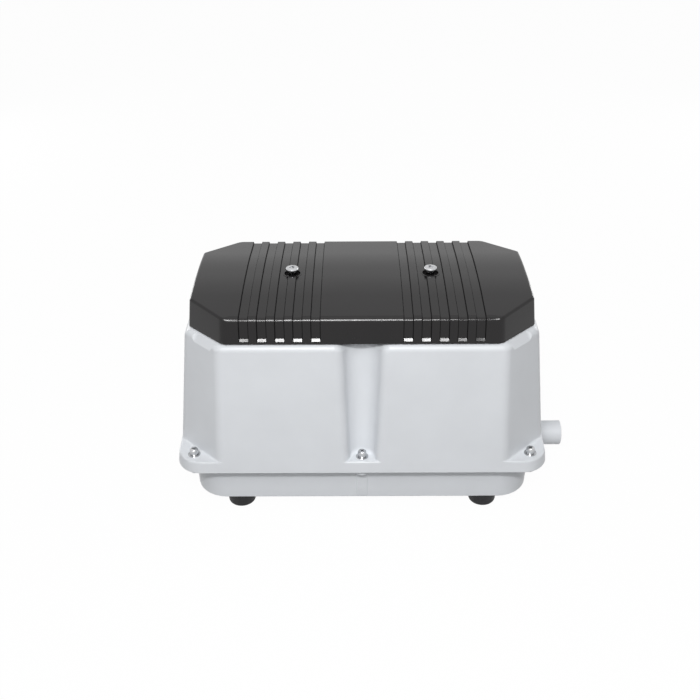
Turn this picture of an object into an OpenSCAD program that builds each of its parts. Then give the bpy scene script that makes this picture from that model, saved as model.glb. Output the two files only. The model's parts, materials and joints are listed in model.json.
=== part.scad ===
// Twin-unit linear diaphragm air pump for a pond or aquarium.
// A painted die-cast housing and tank pan, a moulded filter cover, and two electromagnetic drive units inside.
// Z is up, X runs along the pump and the front is -Y. The origin is on the ground, under the middle of the whole
// length with the outlet spigot. The modules below are drawn about the middle of the pan, and moved at the end.

/* [Housing] */
// Length of the mounting flange
flange_l = 380; // [370:1:400]
// Depth of the mounting flange
flange_w = 216; // [212:1:226]
// Corner radius of the flange ears
flange_corner_r = 26; // [22:1:30]
// Height of the flange underside above the ground
flange_z = 59; // [57:0.5:61]
// Depth of the flange skirt
flange_h = 13; // [12.5:0.5:14]
// Length of the housing body where it meets the flange
body_l = 378; // [370:1:398]
// Depth of the housing body where it meets the flange
body_w = 212.8; // [208:0.4:224]
// Size of the corner chamfer at the flange
body_chamfer = 44; // [40:1:48]
// Draft of the housing walls
body_draft = 6; // [4:0.5:6.5]
// Height of the housing rim above the ground
rim_z = 201; // [198:1:202]
// Radius of the housing shoulder
shoulder_r = 9; // [7:0.5:10]
// Wall thickness of the castings
wall = 4; // [3.5:0.25:4.5]
// Radius of the centre flute at its foot
flute_r_low = 14; // [12:0.5:15]
// Radius of the centre flute at the rim
flute_r_high = 20.6; // [18:0.2:22]
// Depth of the filter tray in the deck
tray_h = 9; // [7:0.5:10]

/* [Filter cover] */
// Length of the cover at its lower edge
cover_l = 342; // [338:1:346]
// Depth of the cover at its lower edge
cover_w = 182; // [178:1:184]
// Size of the cover's corner chamfer
cover_chamfer = 37; // [34:1:40]
// Height of the cover along its flat middle
cover_h = 32.5; // [31:0.5:36]
// How far the cover's top falls to its front and back edges
cover_fall = 6; // [3:0.5:7]
// Half the depth of the cover's flat middle
cover_flat = 27; // [20:1:35]
// Inset of the cover's top edge from draft
cover_inset = 2.8; // [2:0.1:4]
// Wall thickness of the cover
cover_wall = 3; // [2.5:0.25:3.5]
// Width of one groove
groove_w = 8.7; // [8:0.1:9.2]
// Distance between neighbouring grooves
groove_pitch = 17.1; // [16.5:0.1:17.5]
// Distance from the middle to the first groove's centre
groove_first = 43.7; // [42:0.1:45]
// Depth of a groove
groove_d = 1.5; // [1:0.1:1.8]
// Distance from the middle to each cover screw
cover_screw_x = 70.4; // [68:0.1:73]

/* [Tank pan] */
// Length of the pan under the flange
pan_l = 354; // [350:1:356]
// Depth of the pan under the flange
pan_w = 185; // [180:1:186]
// Corner radius of the pan
pan_corner_r = 34; // [30:1:38]
// Height of the pan floor above the ground
pan_z = 14.5; // [13:0.5:16]
// Draft of the pan walls
pan_draft = 1.5; // [1:0.5:3]
// Outside diameter of the outlet spigot
outlet_od = 27; // [26:0.5:28]
// Inside diameter of the outlet spigot
outlet_id = 21; // [19:0.5:22]
// Distance from the middle to the spigot's end
outlet_end = 223; // [215:1:230]
// Height of the spigot's axis
outlet_z = 31; // [31:0.5:34]

/* [Feet] */
// Distance between the feet along the pump
foot_l = 257; // [250:1:260]
// Distance between the feet across the pump
foot_w = 152; // [146:1:154]
// Diameter of a foot at its top
foot_top_d = 29.6; // [28:0.1:30]
// Diameter of a foot just above its rounded bottom edge
foot_low_d = 28.4; // [26:0.1:29]

/* [Flange fasteners] */
// Distance from the middle to a corner screw along the pump
corner_screw_x = 172; // [170:0.5:174]
// Distance from the middle to a corner screw across the pump
corner_screw_y = 92; // [90:0.5:94]
// Distance from the middle to a centre screw across the pump
centre_screw_y = 96.5; // [96:0.5:98]

/* [Drive units] */
// Distance from the middle to each drive unit
unit_x = 86; // [84:1:88]
// Height of the shuttle axis above the ground
shuttle_z = 126; // [124:1:128]
// Diameter of the diaphragm
diaphragm_d = 68; // [64:1:70]
// Stroke of the shuttle to each side
stroke = 2.5; // [2:0.1:2.5]
// Radius of the pump chamber
chamber_r = 24; // [23:0.5:25]
// Height of the core stack
stack_h = 34; // [30:1:36]

/* [Hidden] */
$fn = 64;

paint = "#e6e7ea";
black_plastic = "#2b292b";
zinc = "#b9b7b0";
rubber = "#26262a";
steel = "#8d9196";
copper = "#b5652b";

eps = 0.01;
clear = 0.3;

// Screw sizes
m5_r = 2.5;
m5_clear_r = 2.8;
m5_tap_r = 2.6;
m4_r = 2;
m4_clear_r = 2.2;
washer_r = 6.3;
washer_h = 1;
spring_washer_r = 4.4;
spring_washer_h = 1.2;
m5_head_r = 4.4;
m5_head_h = 5.4;

// Distance from the middle of the pan to the middle of the whole length
origin_x = (outlet_end - flange_l / 2) / 2;

// Levels in the joint between housing and pan, from the bottom up
ear_top = flange_z + flange_h;
ear_h = wall;
seat_z = ear_top - ear_h;
gasket_h = 1;
plate_h = 2;
plate_z = seat_z - gasket_h - plate_h;
plate_top = plate_z + plate_h;
pan_flange_h = 4;
pan_top = plate_z - gasket_h;
boss_low = flange_z - 7;
foot_recess_h = 8;
socket_l = 17;
socket_x = pan_l / 2 - 16.5;

skirt = 3.5;
stack_l = flange_l - 2 * skirt - 1;
stack_w = flange_w - 2 * skirt - 1;
stack_r = flange_corner_r - skirt;
gasket_rim = 7;

// Deck and cover levels
deck_z = rim_z - tray_h;
deck_low = deck_z - wall;
tray_l = 304;
tray_w = 144;
tray_r = 12;
cover_z = rim_z + 0.5;
cover_top = cover_z + cover_h;
boss_r = 8;
boss_top = rim_z + 7;
screw_recess_r = 8.2;
screw_seat = cover_top - 2.5;
cover_edge_r = 4;
cover_corner_r = 6;
body_corner_r = 7;

flange_screw_places = concat(
    [for (x = [-1, 1], y = [-1, 1]) [x * corner_screw_x, y * corner_screw_y]],
    [for (y = [-1, 1]) [0, y * centre_screw_y]]);

// Places inside a drive unit, measured from the shuttle axis
wall_y = 46;
wall_t = 4;
membrane_y = wall_y + wall_t;
membrane_t = 2.5;
head_y = membrane_y + membrane_t;
head_t = 19.5;
head_x = 40;
head_zh = 38;
chamber_d = 15.5;
valve_y = head_y + chamber_d;
head_cover_y = head_y + head_t;
head_cover_t = 12;
head_cover_x = 36;
head_cover_zh = 34;
head_screw_x = 31;
head_screw_z = 29;
port_z = 10;
port_r = 6;
flap_x = 8;
flap_near = 2;
flap_far = 21;
flap_t = 1;
nozzle_y = head_cover_y + head_cover_t / 2;
nozzle_r = 7;
nozzle_low = -44;
base_x = 62;
base_low = -44;
base_t = 3;
mount_x = 54;
mount_y = 38;
pole_x = 9;
leg_y = 9;
core_y = 40;
core_leg = 11;
core_back = 12;
core_x = 52;
coil_y = 27;
coil_z = 31;
bobbin_t = 1.5;
bobbin_y = 28;
bobbin_zh = 32;
magnet_x = 7;
magnet_y = [5.2, 26.8];
magnet_zh = 11.8;
bar_y = 33;
bar_zh = 16;
bar_x = 4;
clamp_r = 15;
clamp_t = 2;
collar_r = 7;
stud_r = 4;
nut_r = 7.5;
nut_t = 5.5;

function wall_inset(z) = (z - ear_top) * tan(body_draft);
function octagon(l, w, c) = [
    [l / 2 - c, -w / 2], [l / 2, -w / 2 + c], [l / 2, w / 2 - c], [l / 2 - c, w / 2],
    [-l / 2 + c, w / 2], [-l / 2, w / 2 - c], [-l / 2, -w / 2 + c], [-l / 2 + c, -w / 2]];
// Octagon moved inwards by d on every side
function octagon_in(l, w, c, d) = octagon(l - 2 * d, w - 2 * d, c - d * (2 - sqrt(2)));

module rounded_rect(l, w, r) {
    square([l - 2 * r, w], center = true);
    square([l, w - 2 * r], center = true);
    for (x = [-1, 1], y = [-1, 1]) translate([x * (l / 2 - r), y * (w / 2 - r)]) circle(r);
}

module slab(l, w, r, h) {
    linear_extrude(h) rounded_rect(l, w, r);
}

module at_flange_screws() {
    for (p = flange_screw_places) translate([p.x, p.y, 0]) children();
}

module at_feet() {
    for (x = [-1, 1], y = [-1, 1]) translate([x * foot_l / 2, y * foot_w / 2, 0]) children();
}

module at_cover_screws() {
    for (x = [-1, 1]) translate([x * cover_screw_x, 0, 0]) children();
}

// Cross recess cut into a screw head whose top is at z = 0
module cross_recess(size, deep) {
    for (a = [0, 90]) rotate([0, 0, a]) translate([-size / 2, -size / 10, -deep]) cube([size, size / 5, deep + 1]);
}

// ---- housing, pan and what joins them ----

module body_block(inset, corner_r, top_r, low, high) {
    top_d = wall_inset(high - top_r) + inset;
    hull() {
        for (p = octagon_in(body_l, body_w, body_chamfer, wall_inset(low) + inset + corner_r))
            translate([p.x, p.y, low]) cylinder(r = corner_r, h = eps, $fn = 24);
        for (p = octagon_in(body_l, body_w, body_chamfer, top_d + top_r))
            translate([p.x, p.y, high - top_r]) sphere(r = top_r, $fn = 24);
    }
}

// Tapered groove down the middle of the front and the back
module flutes(grow, low) {
    for (a = [0, 180]) rotate([0, 0, a]) intersection() {
        translate([0, -flange_w / 2 + 8, ear_top]) rotate([-2, 0, 0]) translate([0, 0, -10])
            cylinder(r1 = flute_r_low + grow - 0.5, r2 = flute_r_high + grow, h = rim_z - ear_top + 16);
        translate([-40, -flange_w, low]) cube([80, flange_w, rim_z + 5 - low]);
    }
}

module inlet_slot() {
    slot_l = 44;
    slot_r = 3;
    translate([0, 0, deck_low - 1]) linear_extrude(wall + 2) {
        square([2 * slot_r, slot_l], center = true);
        for (y = [-1, 1]) translate([0, y * slot_l / 2]) circle(slot_r);
    }
}

// Flat scoop along the top of each chamfered corner
module scoops() {
    slope = 61;
    scoop_l = 48;
    for (x = [-1, 1], y = [-1, 1])
        translate([x * (cover_l - cover_chamfer) / 2, y * (cover_w - cover_chamfer) / 2, rim_z])
            rotate([0, 0, atan2(y, x)]) rotate([0, slope, 0]) translate([-20, -scoop_l / 2, 0])
                cube([40, scoop_l, 20]);
}

module upper_housing() {
    color(paint) difference() {
        union() {
            difference() {
                union() {
                    body_block(0, body_corner_r, shoulder_r, seat_z, rim_z);
                    translate([0, 0, flange_z]) slab(flange_l, flange_w, flange_corner_r, flange_h);
                }
                // cavity for the drive units, with the flutes' walls standing in it
                difference() {
                    body_block(wall, body_corner_r - wall, 3, seat_z - 1, deck_low);
                    flutes(wall, seat_z - 2);
                }
                // pocket under the ears for the pan's flange, the plate and the gaskets
                translate([0, 0, flange_z - 1])
                    slab(stack_l + 1, stack_w + 1, stack_r + 0.5, seat_z - flange_z + 1);
                flutes(0, ear_top);
                translate([0, 0, deck_z]) slab(tray_l, tray_w, tray_r, tray_h + 1);
                scoops();
            }
            at_cover_screws() translate([0, 0, deck_low + 1]) cylinder(r = boss_r, h = boss_top - deck_low - 1);
        }
        for (x = [-1, 1], i = [0:4]) translate([x * (94 + 10 * i), 0, 0]) inlet_slot();
        for (i = [-2:2]) translate([10 * i, 0, 0]) inlet_slot();
        at_cover_screws() translate([0, 0, deck_low - 1]) cylinder(r = m5_tap_r, h = boss_top);
        at_flange_screws() translate([0, 0, flange_z - 1]) cylinder(r = m5_clear_r, h = flange_h + 2);
        cord_hole(7.5);
    }
}

cord_x = -118;
cord_z = 104;

// Moves children to the outside of the back wall, with z pointing out
module at_cord_hole() {
    translate([cord_x, body_w / 2 - wall_inset(cord_z), cord_z]) rotate([-90 + body_draft, 0, 0]) children();
}

module cord_hole(r) {
    at_cord_hole() translate([0, 0, -wall - 4]) cylinder(r = r, h = wall + 8);
}

module cord_grommet() {
    neck = 7.4;
    lip = 10.5;
    bore = 3.5;
    inner_bore = 4.2;
    grip = 2.2;
    out = 7;
    // the bore narrows to grip the cord outside the wall
    color(rubber) at_cord_hole() rotate_extrude() polygon([
        [inner_bore, -wall - 2.5], [lip - 1, -wall - 2.5], [lip, -wall - 1.5], [lip, -wall - 0.2],
        [neck, -wall - 0.2], [neck, 0.1], [lip, 0.1], [lip, 2], [lip - 1.5, 3], [bore + 2, out], [bore, out],
        [bore, grip], [inner_bore, grip]]);
}

module housing_gasket() {
    color(rubber) translate([0, 0, seat_z - gasket_h]) joint_ring(gasket_h);
}

module tank_gasket() {
    color(rubber) translate([0, 0, pan_top]) joint_ring(gasket_h);
}

// Flat ring with the six screw holes, shared by both gaskets
module joint_ring(h) {
    linear_extrude(h) difference() {
        rounded_rect(stack_l, stack_w, stack_r);
        difference() {
            rounded_rect(stack_l - 2 * gasket_rim, stack_w - 2 * gasket_rim, pan_corner_r);
            for (p = flange_screw_places) translate(p) circle(washer_r + 2);
        }
        for (p = flange_screw_places) translate(p) circle(m5_clear_r);
    }
}

module tank_plate() {
    color(steel) translate([0, 0, plate_z]) difference() {
        slab(stack_l, stack_w, stack_r, plate_h);
        at_flange_screws() translate([0, 0, -1]) cylinder(r = m5_clear_r, h = plate_h + 2);
        for (x = [-1, 1], y = [-1, 1]) translate([x * unit_x, y * nozzle_y, -1]) cylinder(r = 9, h = plate_h + 2);
        at_rubber_mounts() translate([0, 0, -1]) cylinder(r = 4, h = plate_h + 2);
    }
}

module pan_block(inset, low, high) {
    low_d = inset + (pan_top - low) * tan(pan_draft);
    high_d = inset + (pan_top - high) * tan(pan_draft);
    r = pan_corner_r - inset;
    hull() for (x = [-1, 1], y = [-1, 1]) {
        translate([x * (pan_l / 2 - low_d - r), y * (pan_w / 2 - low_d - r), low])
            cylinder(r = r, h = eps, $fn = 48);
        translate([x * (pan_l / 2 - high_d - r), y * (pan_w / 2 - high_d - r), high - eps])
            cylinder(r = r, h = eps, $fn = 48);
    }
}

module base_pan() {
    floor_t = 3.5;
    foot_boss_h = 10;
    color(paint) difference() {
        union() {
            difference() {
                union() {
                    pan_block(0, pan_z, pan_top - 1);
                    translate([0, 0, pan_top - pan_flange_h]) slab(stack_l, stack_w, stack_r, pan_flange_h);
                }
                pan_block(wall, pan_z + floor_t, pan_top + 1);
            }
            at_flange_screws() translate([0, 0, boss_low]) cylinder(r = 6.5, h = pan_top - boss_low - 1);
            // shallow upright under each centre screw
            for (a = [0, 180]) rotate([0, 0, a]) translate([0, -pan_w / 2 - 0.9, pan_top - pan_flange_h / 2])
                rotate([pan_draft, 0, 0]) translate([-6, 0, pan_z + 3 - pan_top]) cube([12, 3, pan_top - pan_z - 3]);
            at_feet() translate([0, 0, pan_z + 1]) cylinder(r = 7, h = floor_t + foot_boss_h - 1);
            // socket for the outlet spigot
            translate([socket_x, 0, outlet_z]) rotate([0, 90, 0]) cylinder(d = outlet_od + 5, h = socket_l);
        }
        at_flange_screws() translate([0, 0, boss_low + 1.5]) cylinder(r = m5_tap_r, h = 20);
        at_feet() translate([0, 0, pan_z - 1]) cylinder(r = m5_tap_r, h = floor_t + foot_boss_h - 1);
        translate([socket_x - 8, 0, outlet_z]) rotate([0, 90, 0]) cylinder(d = outlet_od - 1, h = 40);
    }
}

module outlet_spigot() {
    collar_h = 3;
    collar = socket_x + socket_l;
    color(paint) translate([0, 0, outlet_z]) rotate([0, 90, 0]) difference() {
        union() {
            translate([0, 0, socket_x]) cylinder(d = outlet_od - 1, h = socket_l + 1);
            translate([0, 0, collar]) cylinder(d = outlet_od + 3, h = collar_h);
            translate([0, 0, collar]) cylinder(d = outlet_od, h = outlet_end - collar);
        }
        translate([0, 0, socket_x - 1]) cylinder(d = outlet_id, h = 100);
    }
}

module foot(x, y) {
    recess_r = 5.5;
    hole_r = 2.7;
    low = foot_low_d / 2;
    top = foot_top_d / 2;
    round_r = 3.8;
    color(rubber) translate([x * foot_l / 2, y * foot_w / 2, 0]) rotate_extrude() polygon(concat(
        [[recess_r, 0]],
        [for (a = [0:15:90]) [low - round_r + round_r * sin(a), round_r * (1 - cos(a))]],
        [[top, pan_z - 1], [top - 0.3, pan_z],
        [hole_r, pan_z], [hole_r, foot_recess_h], [recess_r, foot_recess_h]]));
}

module foot_screws() {
    head_h = 3;
    color(zinc) at_feet() difference() {
        union() {
            translate([0, 0, foot_recess_h - head_h]) cylinder(r1 = 4, r2 = 4.7, h = head_h);
            translate([0, 0, foot_recess_h - 1]) cylinder(r = m5_r, h = pan_z + 10 - foot_recess_h);
        }
        translate([0, 0, foot_recess_h - head_h]) rotate([180, 0, 0]) cross_recess(5, 1.6);
    }
}

module flange_screws() {
    head_z = ear_top + washer_h + spring_washer_h;
    color(zinc) at_flange_screws() difference() {
        union() {
            translate([0, 0, head_z]) cylinder(r = m5_head_r, h = m5_head_h - 1);
            translate([0, 0, head_z + m5_head_h - 1]) cylinder(r1 = m5_head_r, r2 = m5_head_r - 1.2, h = 1);
            translate([0, 0, boss_low + 2.5]) cylinder(r = m5_r, h = head_z - boss_low - 2);
        }
        translate([0, 0, head_z + m5_head_h]) cross_recess(6, 2);
    }
}

module flange_spring_washers() {
    color(zinc) at_flange_screws() translate([0, 0, ear_top + washer_h]) difference() {
        cylinder(r = spring_washer_r, h = spring_washer_h);
        translate([0, 0, -1]) cylinder(r = m5_clear_r, h = 4);
        // the split
        rotate([0, 0, 40]) translate([0, -0.4, -1]) cube([spring_washer_r + 1, 0.8, 4]);
    }
}

module flange_washers() {
    color(zinc) at_flange_screws() translate([0, 0, ear_top]) difference() {
        cylinder(r = washer_r, h = washer_h);
        translate([0, 0, -1]) cylinder(r = m5_clear_r, h = 4);
    }
}

// ---- filter and its cover ----

module air_filter() {
    filter_h = 17;
    color("#d8d4c4") translate([0, 0, deck_z]) difference() {
        slab(tray_l - 3, tray_w - 3, tray_r - 1, filter_h);
        at_cover_screws() translate([0, 0, -1]) cylinder(r = boss_r + 1.5, h = filter_h + 2);
    }
}

// Height of the cover's top surface above its lower edge, at a distance from the middle
function cover_height(y) = cover_h - max(0, abs(y) - cover_flat) * cover_fall / (cover_w / 2 - cover_inset - cover_flat);

module cover_block(inset, drop, edge_r, corner_r) {
    top_in = cover_inset + inset + edge_r;
    ridge_x = cover_l / 2 - top_in;
    hull() {
        for (p = octagon_in(cover_l, cover_w, cover_chamfer, inset + corner_r))
            translate([p.x, p.y, cover_z - drop]) cylinder(r = corner_r, h = eps, $fn = 32);
        for (p = octagon_in(cover_l, cover_w, cover_chamfer, top_in))
            translate([p.x, p.y, cover_z + cover_height(abs(p.y) + edge_r) - inset - edge_r])
                sphere(r = edge_r, $fn = 32);
        for (x = [-1, 1], y = [-1, 1])
            translate([x * ridge_x, y * cover_flat, cover_z + cover_h - inset - edge_r]) sphere(r = edge_r, $fn = 32);
    }
}

// Side view of what lies outside a groove's floor, with a sloping ledge at each end
module groove_profile() {
    far = cover_w;
    edge = cover_w / 2;
    floor_y = edge - cover_inset - groove_d;
    ledge_low = cover_z + 3.5;
    ledge_high = cover_z + 7.5;
    slope_in = cover_inset * (ledge_high - cover_z) / cover_h;
    difference() {
        translate([-far, ledge_low]) square([2 * far, cover_h + 10]);
        polygon([[-edge - 1, cover_z], [edge + 1, cover_z], [edge + 1, ledge_low], [edge - 0.3, ledge_low],
            [edge - slope_in - groove_d, ledge_high],
            [floor_y, cover_top - cover_fall - 4.5], [floor_y - 4, cover_top - cover_fall - groove_d + 0.6],
            [cover_flat, cover_top - groove_d], [-cover_flat, cover_top - groove_d],
            [-floor_y + 4, cover_top - cover_fall - groove_d + 0.6], [-floor_y, cover_top - cover_fall - 4.5],
            [-edge + slope_in + groove_d, ledge_high], [-edge + 0.3, ledge_low], [-edge - 1, ledge_low]]);
    }
}

module filter_cover() {
    color(black_plastic) difference() {
        union() {
            difference() {
                cover_block(0, 0, cover_edge_r, cover_corner_r);
                cover_block(cover_wall, 1, 2, 3);
            }
            at_cover_screws() translate([0, 0, boss_top + 1.5]) cylinder(r = 7, h = screw_seat - boss_top - 2.5);
            at_cover_screws() translate([0, 0, screw_seat - 4]) cylinder(r = screw_recess_r + 1.5, h = 5);
        }
        for (x = [-1, 1], i = [0:4]) translate([x * (groove_first + i * groove_pitch) - groove_w / 2, 0, 0])
            rotate([90, 0, 90]) linear_extrude(groove_w) groove_profile();
        at_cover_screws() translate([0, 0, screw_seat]) cylinder(r = screw_recess_r, h = 10);
        at_cover_screws() translate([0, 0, boss_top]) cylinder(r = m5_clear_r, h = cover_h);
    }
}

module cover_seal() {
    seal_w = 4;
    seal_h = 3.5;
    side = cover_wall + 0.2;
    color(rubber) translate([0, 0, rim_z + clear]) linear_extrude(seal_h) difference() {
        polygon(octagon_in(cover_l, cover_w, cover_chamfer, side + 0.4));
        polygon(octagon_in(cover_l, cover_w, cover_chamfer, side + seal_w));
    }
}

module cover_screws() {
    head_r = 6.5;
    head_h = 8.4;
    dome_r = 9.5;
    color(zinc) at_cover_screws() difference() {
        union() {
            intersection() {
                translate([0, 0, screw_seat]) cylinder(r = head_r, h = head_h);
                translate([0, 0, screw_seat + head_h - dome_r]) sphere(r = dome_r);
            }
            translate([0, 0, deck_low + 2]) cylinder(r = m5_r, h = screw_seat - deck_low - 1);
        }
        translate([0, 0, screw_seat + head_h]) cross_recess(8, 2.6);
    }
}

module cover_screw_retainers() {
    color("#e9e9e2") at_cover_screws() translate([0, 0, boss_top + clear]) difference() {
        cylinder(r = 5.5, h = 1.1);
        translate([0, 0, -1]) cylinder(r = m5_r + 0.05, h = 4);
    }
}

// ---- drive units ----

// Places children on the shuttle axis of the left (-1) or right (1) unit
module at_unit(side) {
    translate([side * unit_x, 0, shuttle_z]) children();
}

// Repeats children, made for the rear end, at both ends of a unit
module both_ends() {
    for (a = [0, 180]) rotate([0, 0, a]) children();
}

// Turns children so that their z runs along the shuttle, out of the rear end
module along_y(y) {
    translate([0, y, 0]) rotate([-90, 0, 0]) children();
}

module at_rubber_mounts() {
    for (s = [-1, 1], x = [-1, 1], y = [-1, 1]) translate([s * unit_x + x * mount_x, y * mount_y, 0]) children();
}

module at_head_screws() {
    for (x = [-1, 1], z = [-1, 1]) translate([x * head_screw_x, 0, z * head_screw_z]) children();
}

module drive_frame(side) {
    post_r = 4;
    color("#a9adb2") at_unit(side) difference() {
        union() {
            translate([-base_x, -wall_y - wall_t, base_low]) cube([2 * base_x, 2 * (wall_y + wall_t), base_t]);
            both_ends() translate([-head_x, wall_y, base_low + base_t]) cube([2 * head_x, wall_t, head_zh - base_low - base_t]);
            for (x = [-1, 1], y = [-1, 1]) translate([x * (core_x - 7.5), y * (core_y - 7.5), base_low + base_t])
                cylinder(r = post_r, h = -stack_h / 2 - base_low - base_t);
        }
        both_ends() along_y(wall_y - 1) cylinder(r = chamber_r + 2, h = wall_t + 2);
        both_ends() at_head_screws() along_y(wall_y - 1) cylinder(r = m4_clear_r, h = wall_t + 2);
        for (x = [-1, 1], y = [-1, 1]) translate([x * mount_x, y * mount_y, base_low - 1]) cylinder(r = 4, h = base_t + 2);
    }
}

module core_half() {
    translate([0, 0, -stack_h / 2]) linear_extrude(stack_h) polygon([
        [pole_x, -core_y], [core_x, -core_y], [core_x, core_y], [pole_x, core_y], [pole_x, core_y - core_leg],
        [core_x - core_back, core_y - core_leg], [core_x - core_back, leg_y], [pole_x, leg_y], [pole_x, -leg_y],
        [core_x - core_back, -leg_y], [core_x - core_back, core_leg - core_y], [pole_x, core_leg - core_y]]);
}

module cores(side) {
    color("#5d6167") at_unit(side) both_ends() core_half();
}

module leg_tube(x, h, y, z, r) {
    translate([x, 0, 0]) rotate([90, 0, 90]) linear_extrude(h) rounded_rect(2 * y, 2 * z, r);
}

module bobbins(side) {
    near = pole_x + 2;
    far = core_x - core_back - 1;
    color("#d9d3bd") at_unit(side) both_ends() difference() {
        union() {
            leg_tube(near, far - near, leg_y + 1.8, stack_h / 2 + 1.8, 1);
            leg_tube(near, bobbin_t, bobbin_y, bobbin_zh, 4);
            leg_tube(far - bobbin_t, bobbin_t, bobbin_y, bobbin_zh, 4);
        }
        translate([near - 1, -leg_y - 0.3, -stack_h / 2 - 0.3]) cube([far, 2 * leg_y + 0.6, stack_h + 0.6]);
    }
}

module coils(side) {
    near = pole_x + 2 + bobbin_t;
    far = core_x - core_back - 1 - bobbin_t;
    color(copper) at_unit(side) both_ends() difference() {
        leg_tube(near, far - near, coil_y, coil_z, 8);
        leg_tube(near - 1, far, leg_y + 1.8, stack_h / 2 + 1.8, 1);
    }
}

module pump_heads(side) {
    color("#c4c7ca") at_unit(side) both_ends() difference() {
        translate([-head_x, head_y, -head_zh]) cube([2 * head_x, head_t, 2 * head_zh]);
        along_y(head_y - 1) cylinder(r = chamber_r, h = chamber_d + 1);
        for (z = [-1, 1]) translate([0, 0, z * port_z]) along_y(head_y) cylinder(r = port_r, h = head_t + 1);
        at_head_screws() along_y(head_y - 1) cylinder(r = m4_clear_r, h = head_t + 2);
    }
}

module head_covers(side) {
    rib = 2;
    inner_x = 24;
    color("#c4c7ca") at_unit(side) both_ends() difference() {
        union() {
            translate([-head_cover_x, head_cover_y, -head_cover_zh])
                cube([2 * head_cover_x, head_cover_t, 2 * head_cover_zh]);
            translate([0, nozzle_y, nozzle_low]) cylinder(r = nozzle_r - 2, h = -nozzle_low - head_cover_zh + 1);
        }
        // suction plenum above, open to the housing at its top, and discharge plenum below
        for (z = [rib / 2, rib / 2 - head_cover_zh + rib]) translate([-inner_x, head_cover_y - 1, z])
            cube([2 * inner_x, head_cover_t - rib + 1, head_cover_zh - rib - rib]);
        for (x = [-18:9:18]) translate([x, nozzle_y - 1, 0]) cylinder(r = 3, h = head_cover_zh + 1);
        translate([0, nozzle_y, nozzle_low - 1]) cylinder(r = 3.2, h = 20);
        at_head_screws() along_y(head_cover_y - 1) cylinder(r = m4_clear_r, h = head_cover_t + 2);
    }
}

module discharge_sleeves(side) {
    low = pan_top - 2 - shuttle_z;
    top = -head_zh - clear;
    plate = plate_top - shuttle_z;
    bore = nozzle_r - 2;
    color(rubber) at_unit(side) both_ends() translate([0, nozzle_y, 0]) rotate_extrude() polygon([
        [bore, low], [8.5, low], [8.5, plate], [12, plate], [12, plate + 3], [9, plate + 5], [9, top], [bore, top]]);
}

module diaphragms(side) {
    rim_r = diaphragm_d / 2;
    roll = 3;
    mid = (clamp_r + 1 + chamber_r + 1) / 2;
    half = (chamber_r - clamp_r) / 2 - 0.5;
    color(rubber) at_unit(side) both_ends() along_y(membrane_y) rotate_extrude() polygon(concat(
        [[stud_r, 0], [mid - half, 0]],
        [for (a = [30:30:150]) [mid - half * cos(a), -roll * sin(a)]],
        [[mid + half, 0], [rim_r, 0], [rim_r, membrane_t], [mid + half, membrane_t]],
        [for (a = [150:-30:30]) [mid - half * cos(a), membrane_t - roll * sin(a)]],
        [[mid - half, membrane_t], [stud_r, membrane_t]]));
}

module shuttle_bar(side) {
    color("#b4b8bc") at_unit(side) {
        difference() {
            translate([-bar_x, -bar_y, -bar_zh]) cube([2 * bar_x, 2 * bar_y, 2 * bar_zh]);
            for (s = [-1, 1]) translate([-bar_x - 1, s * (magnet_y[0] + magnet_y[1]) / 2, 0])
                translate([0, -(magnet_y[1] - magnet_y[0]) / 2, -magnet_zh])
                    cube([2 * bar_x + 2, magnet_y[1] - magnet_y[0], 2 * magnet_zh]);
        }
        both_ends() along_y(bar_y) cylinder(r = collar_r, h = membrane_y - clamp_t - bar_y);
        both_ends() along_y(bar_y) cylinder(r = stud_r, h = head_y + clamp_t + nut_t - bar_y + clear);
    }
}

module magnets(side) {
    color("#4b4f55") at_unit(side) both_ends() translate([-magnet_x, magnet_y[0], -magnet_zh])
        cube([2 * magnet_x, magnet_y[1] - magnet_y[0], 2 * magnet_zh]);
}

module clamp_plates(side) {
    color(zinc) at_unit(side) both_ends() for (y = [membrane_y - clamp_t, head_y]) along_y(y) difference() {
        cylinder(r = clamp_r, h = clamp_t);
        translate([0, 0, -1]) cylinder(r = stud_r, h = clamp_t + 2);
    }
}

module rod_nuts(side) {
    color(zinc) at_unit(side) both_ends() along_y(head_y + clamp_t) difference() {
        cylinder(r = nut_r, h = nut_t, $fn = 6);
        translate([0, 0, -1]) cylinder(r = stud_r, h = nut_t + 2);
    }
}

module flap_blank(h) {
    corner_r = 3;
    linear_extrude(h) {
        translate([-flap_x, flap_near + corner_r]) square([2 * flap_x, flap_far - flap_near - corner_r]);
        translate([-flap_x + corner_r, flap_near]) square([2 * (flap_x - corner_r), corner_r + 1]);
        for (x = [-1, 1]) translate([x * (flap_x - corner_r), flap_near + corner_r]) circle(corner_r);
    }
}

// Rubber flap over the upper port, on the chamber side of the valve wall, held along its top edge
module suction_flap(side, turn) {
    color(rubber) at_unit(side) rotate([0, 0, turn]) translate([0, valve_y - 0.1, 0]) rotate([90, 0, 0])
        flap_blank(flap_t);
}

// Rubber flap over the lower port, on the outer side of the valve wall, held along its top edge
module discharge_flap(side, turn) {
    color(rubber) at_unit(side) rotate([0, 0, turn])
        translate([0, head_cover_y + 0.1 + flap_t, -flap_near - flap_far]) rotate([90, 0, 0]) flap_blank(flap_t);
}

module rubber_mounts() {
    top = shuttle_z + base_low;
    neck = 3.85;
    color(rubber) at_rubber_mounts() rotate_extrude() polygon([
        [0, plate_z - 2.5], [3, plate_z - 2.5], [5, plate_z], [neck, plate_z], [neck, plate_top], [8, plate_top],
        [8, plate_top + 3], [6.5, (plate_top + top) / 2], [8, top - 3], [8, top], [neck, top],
        [neck, top + base_t], [6, top + base_t], [4, top + base_t + 3], [0, top + base_t + 3]]);
}

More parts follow.
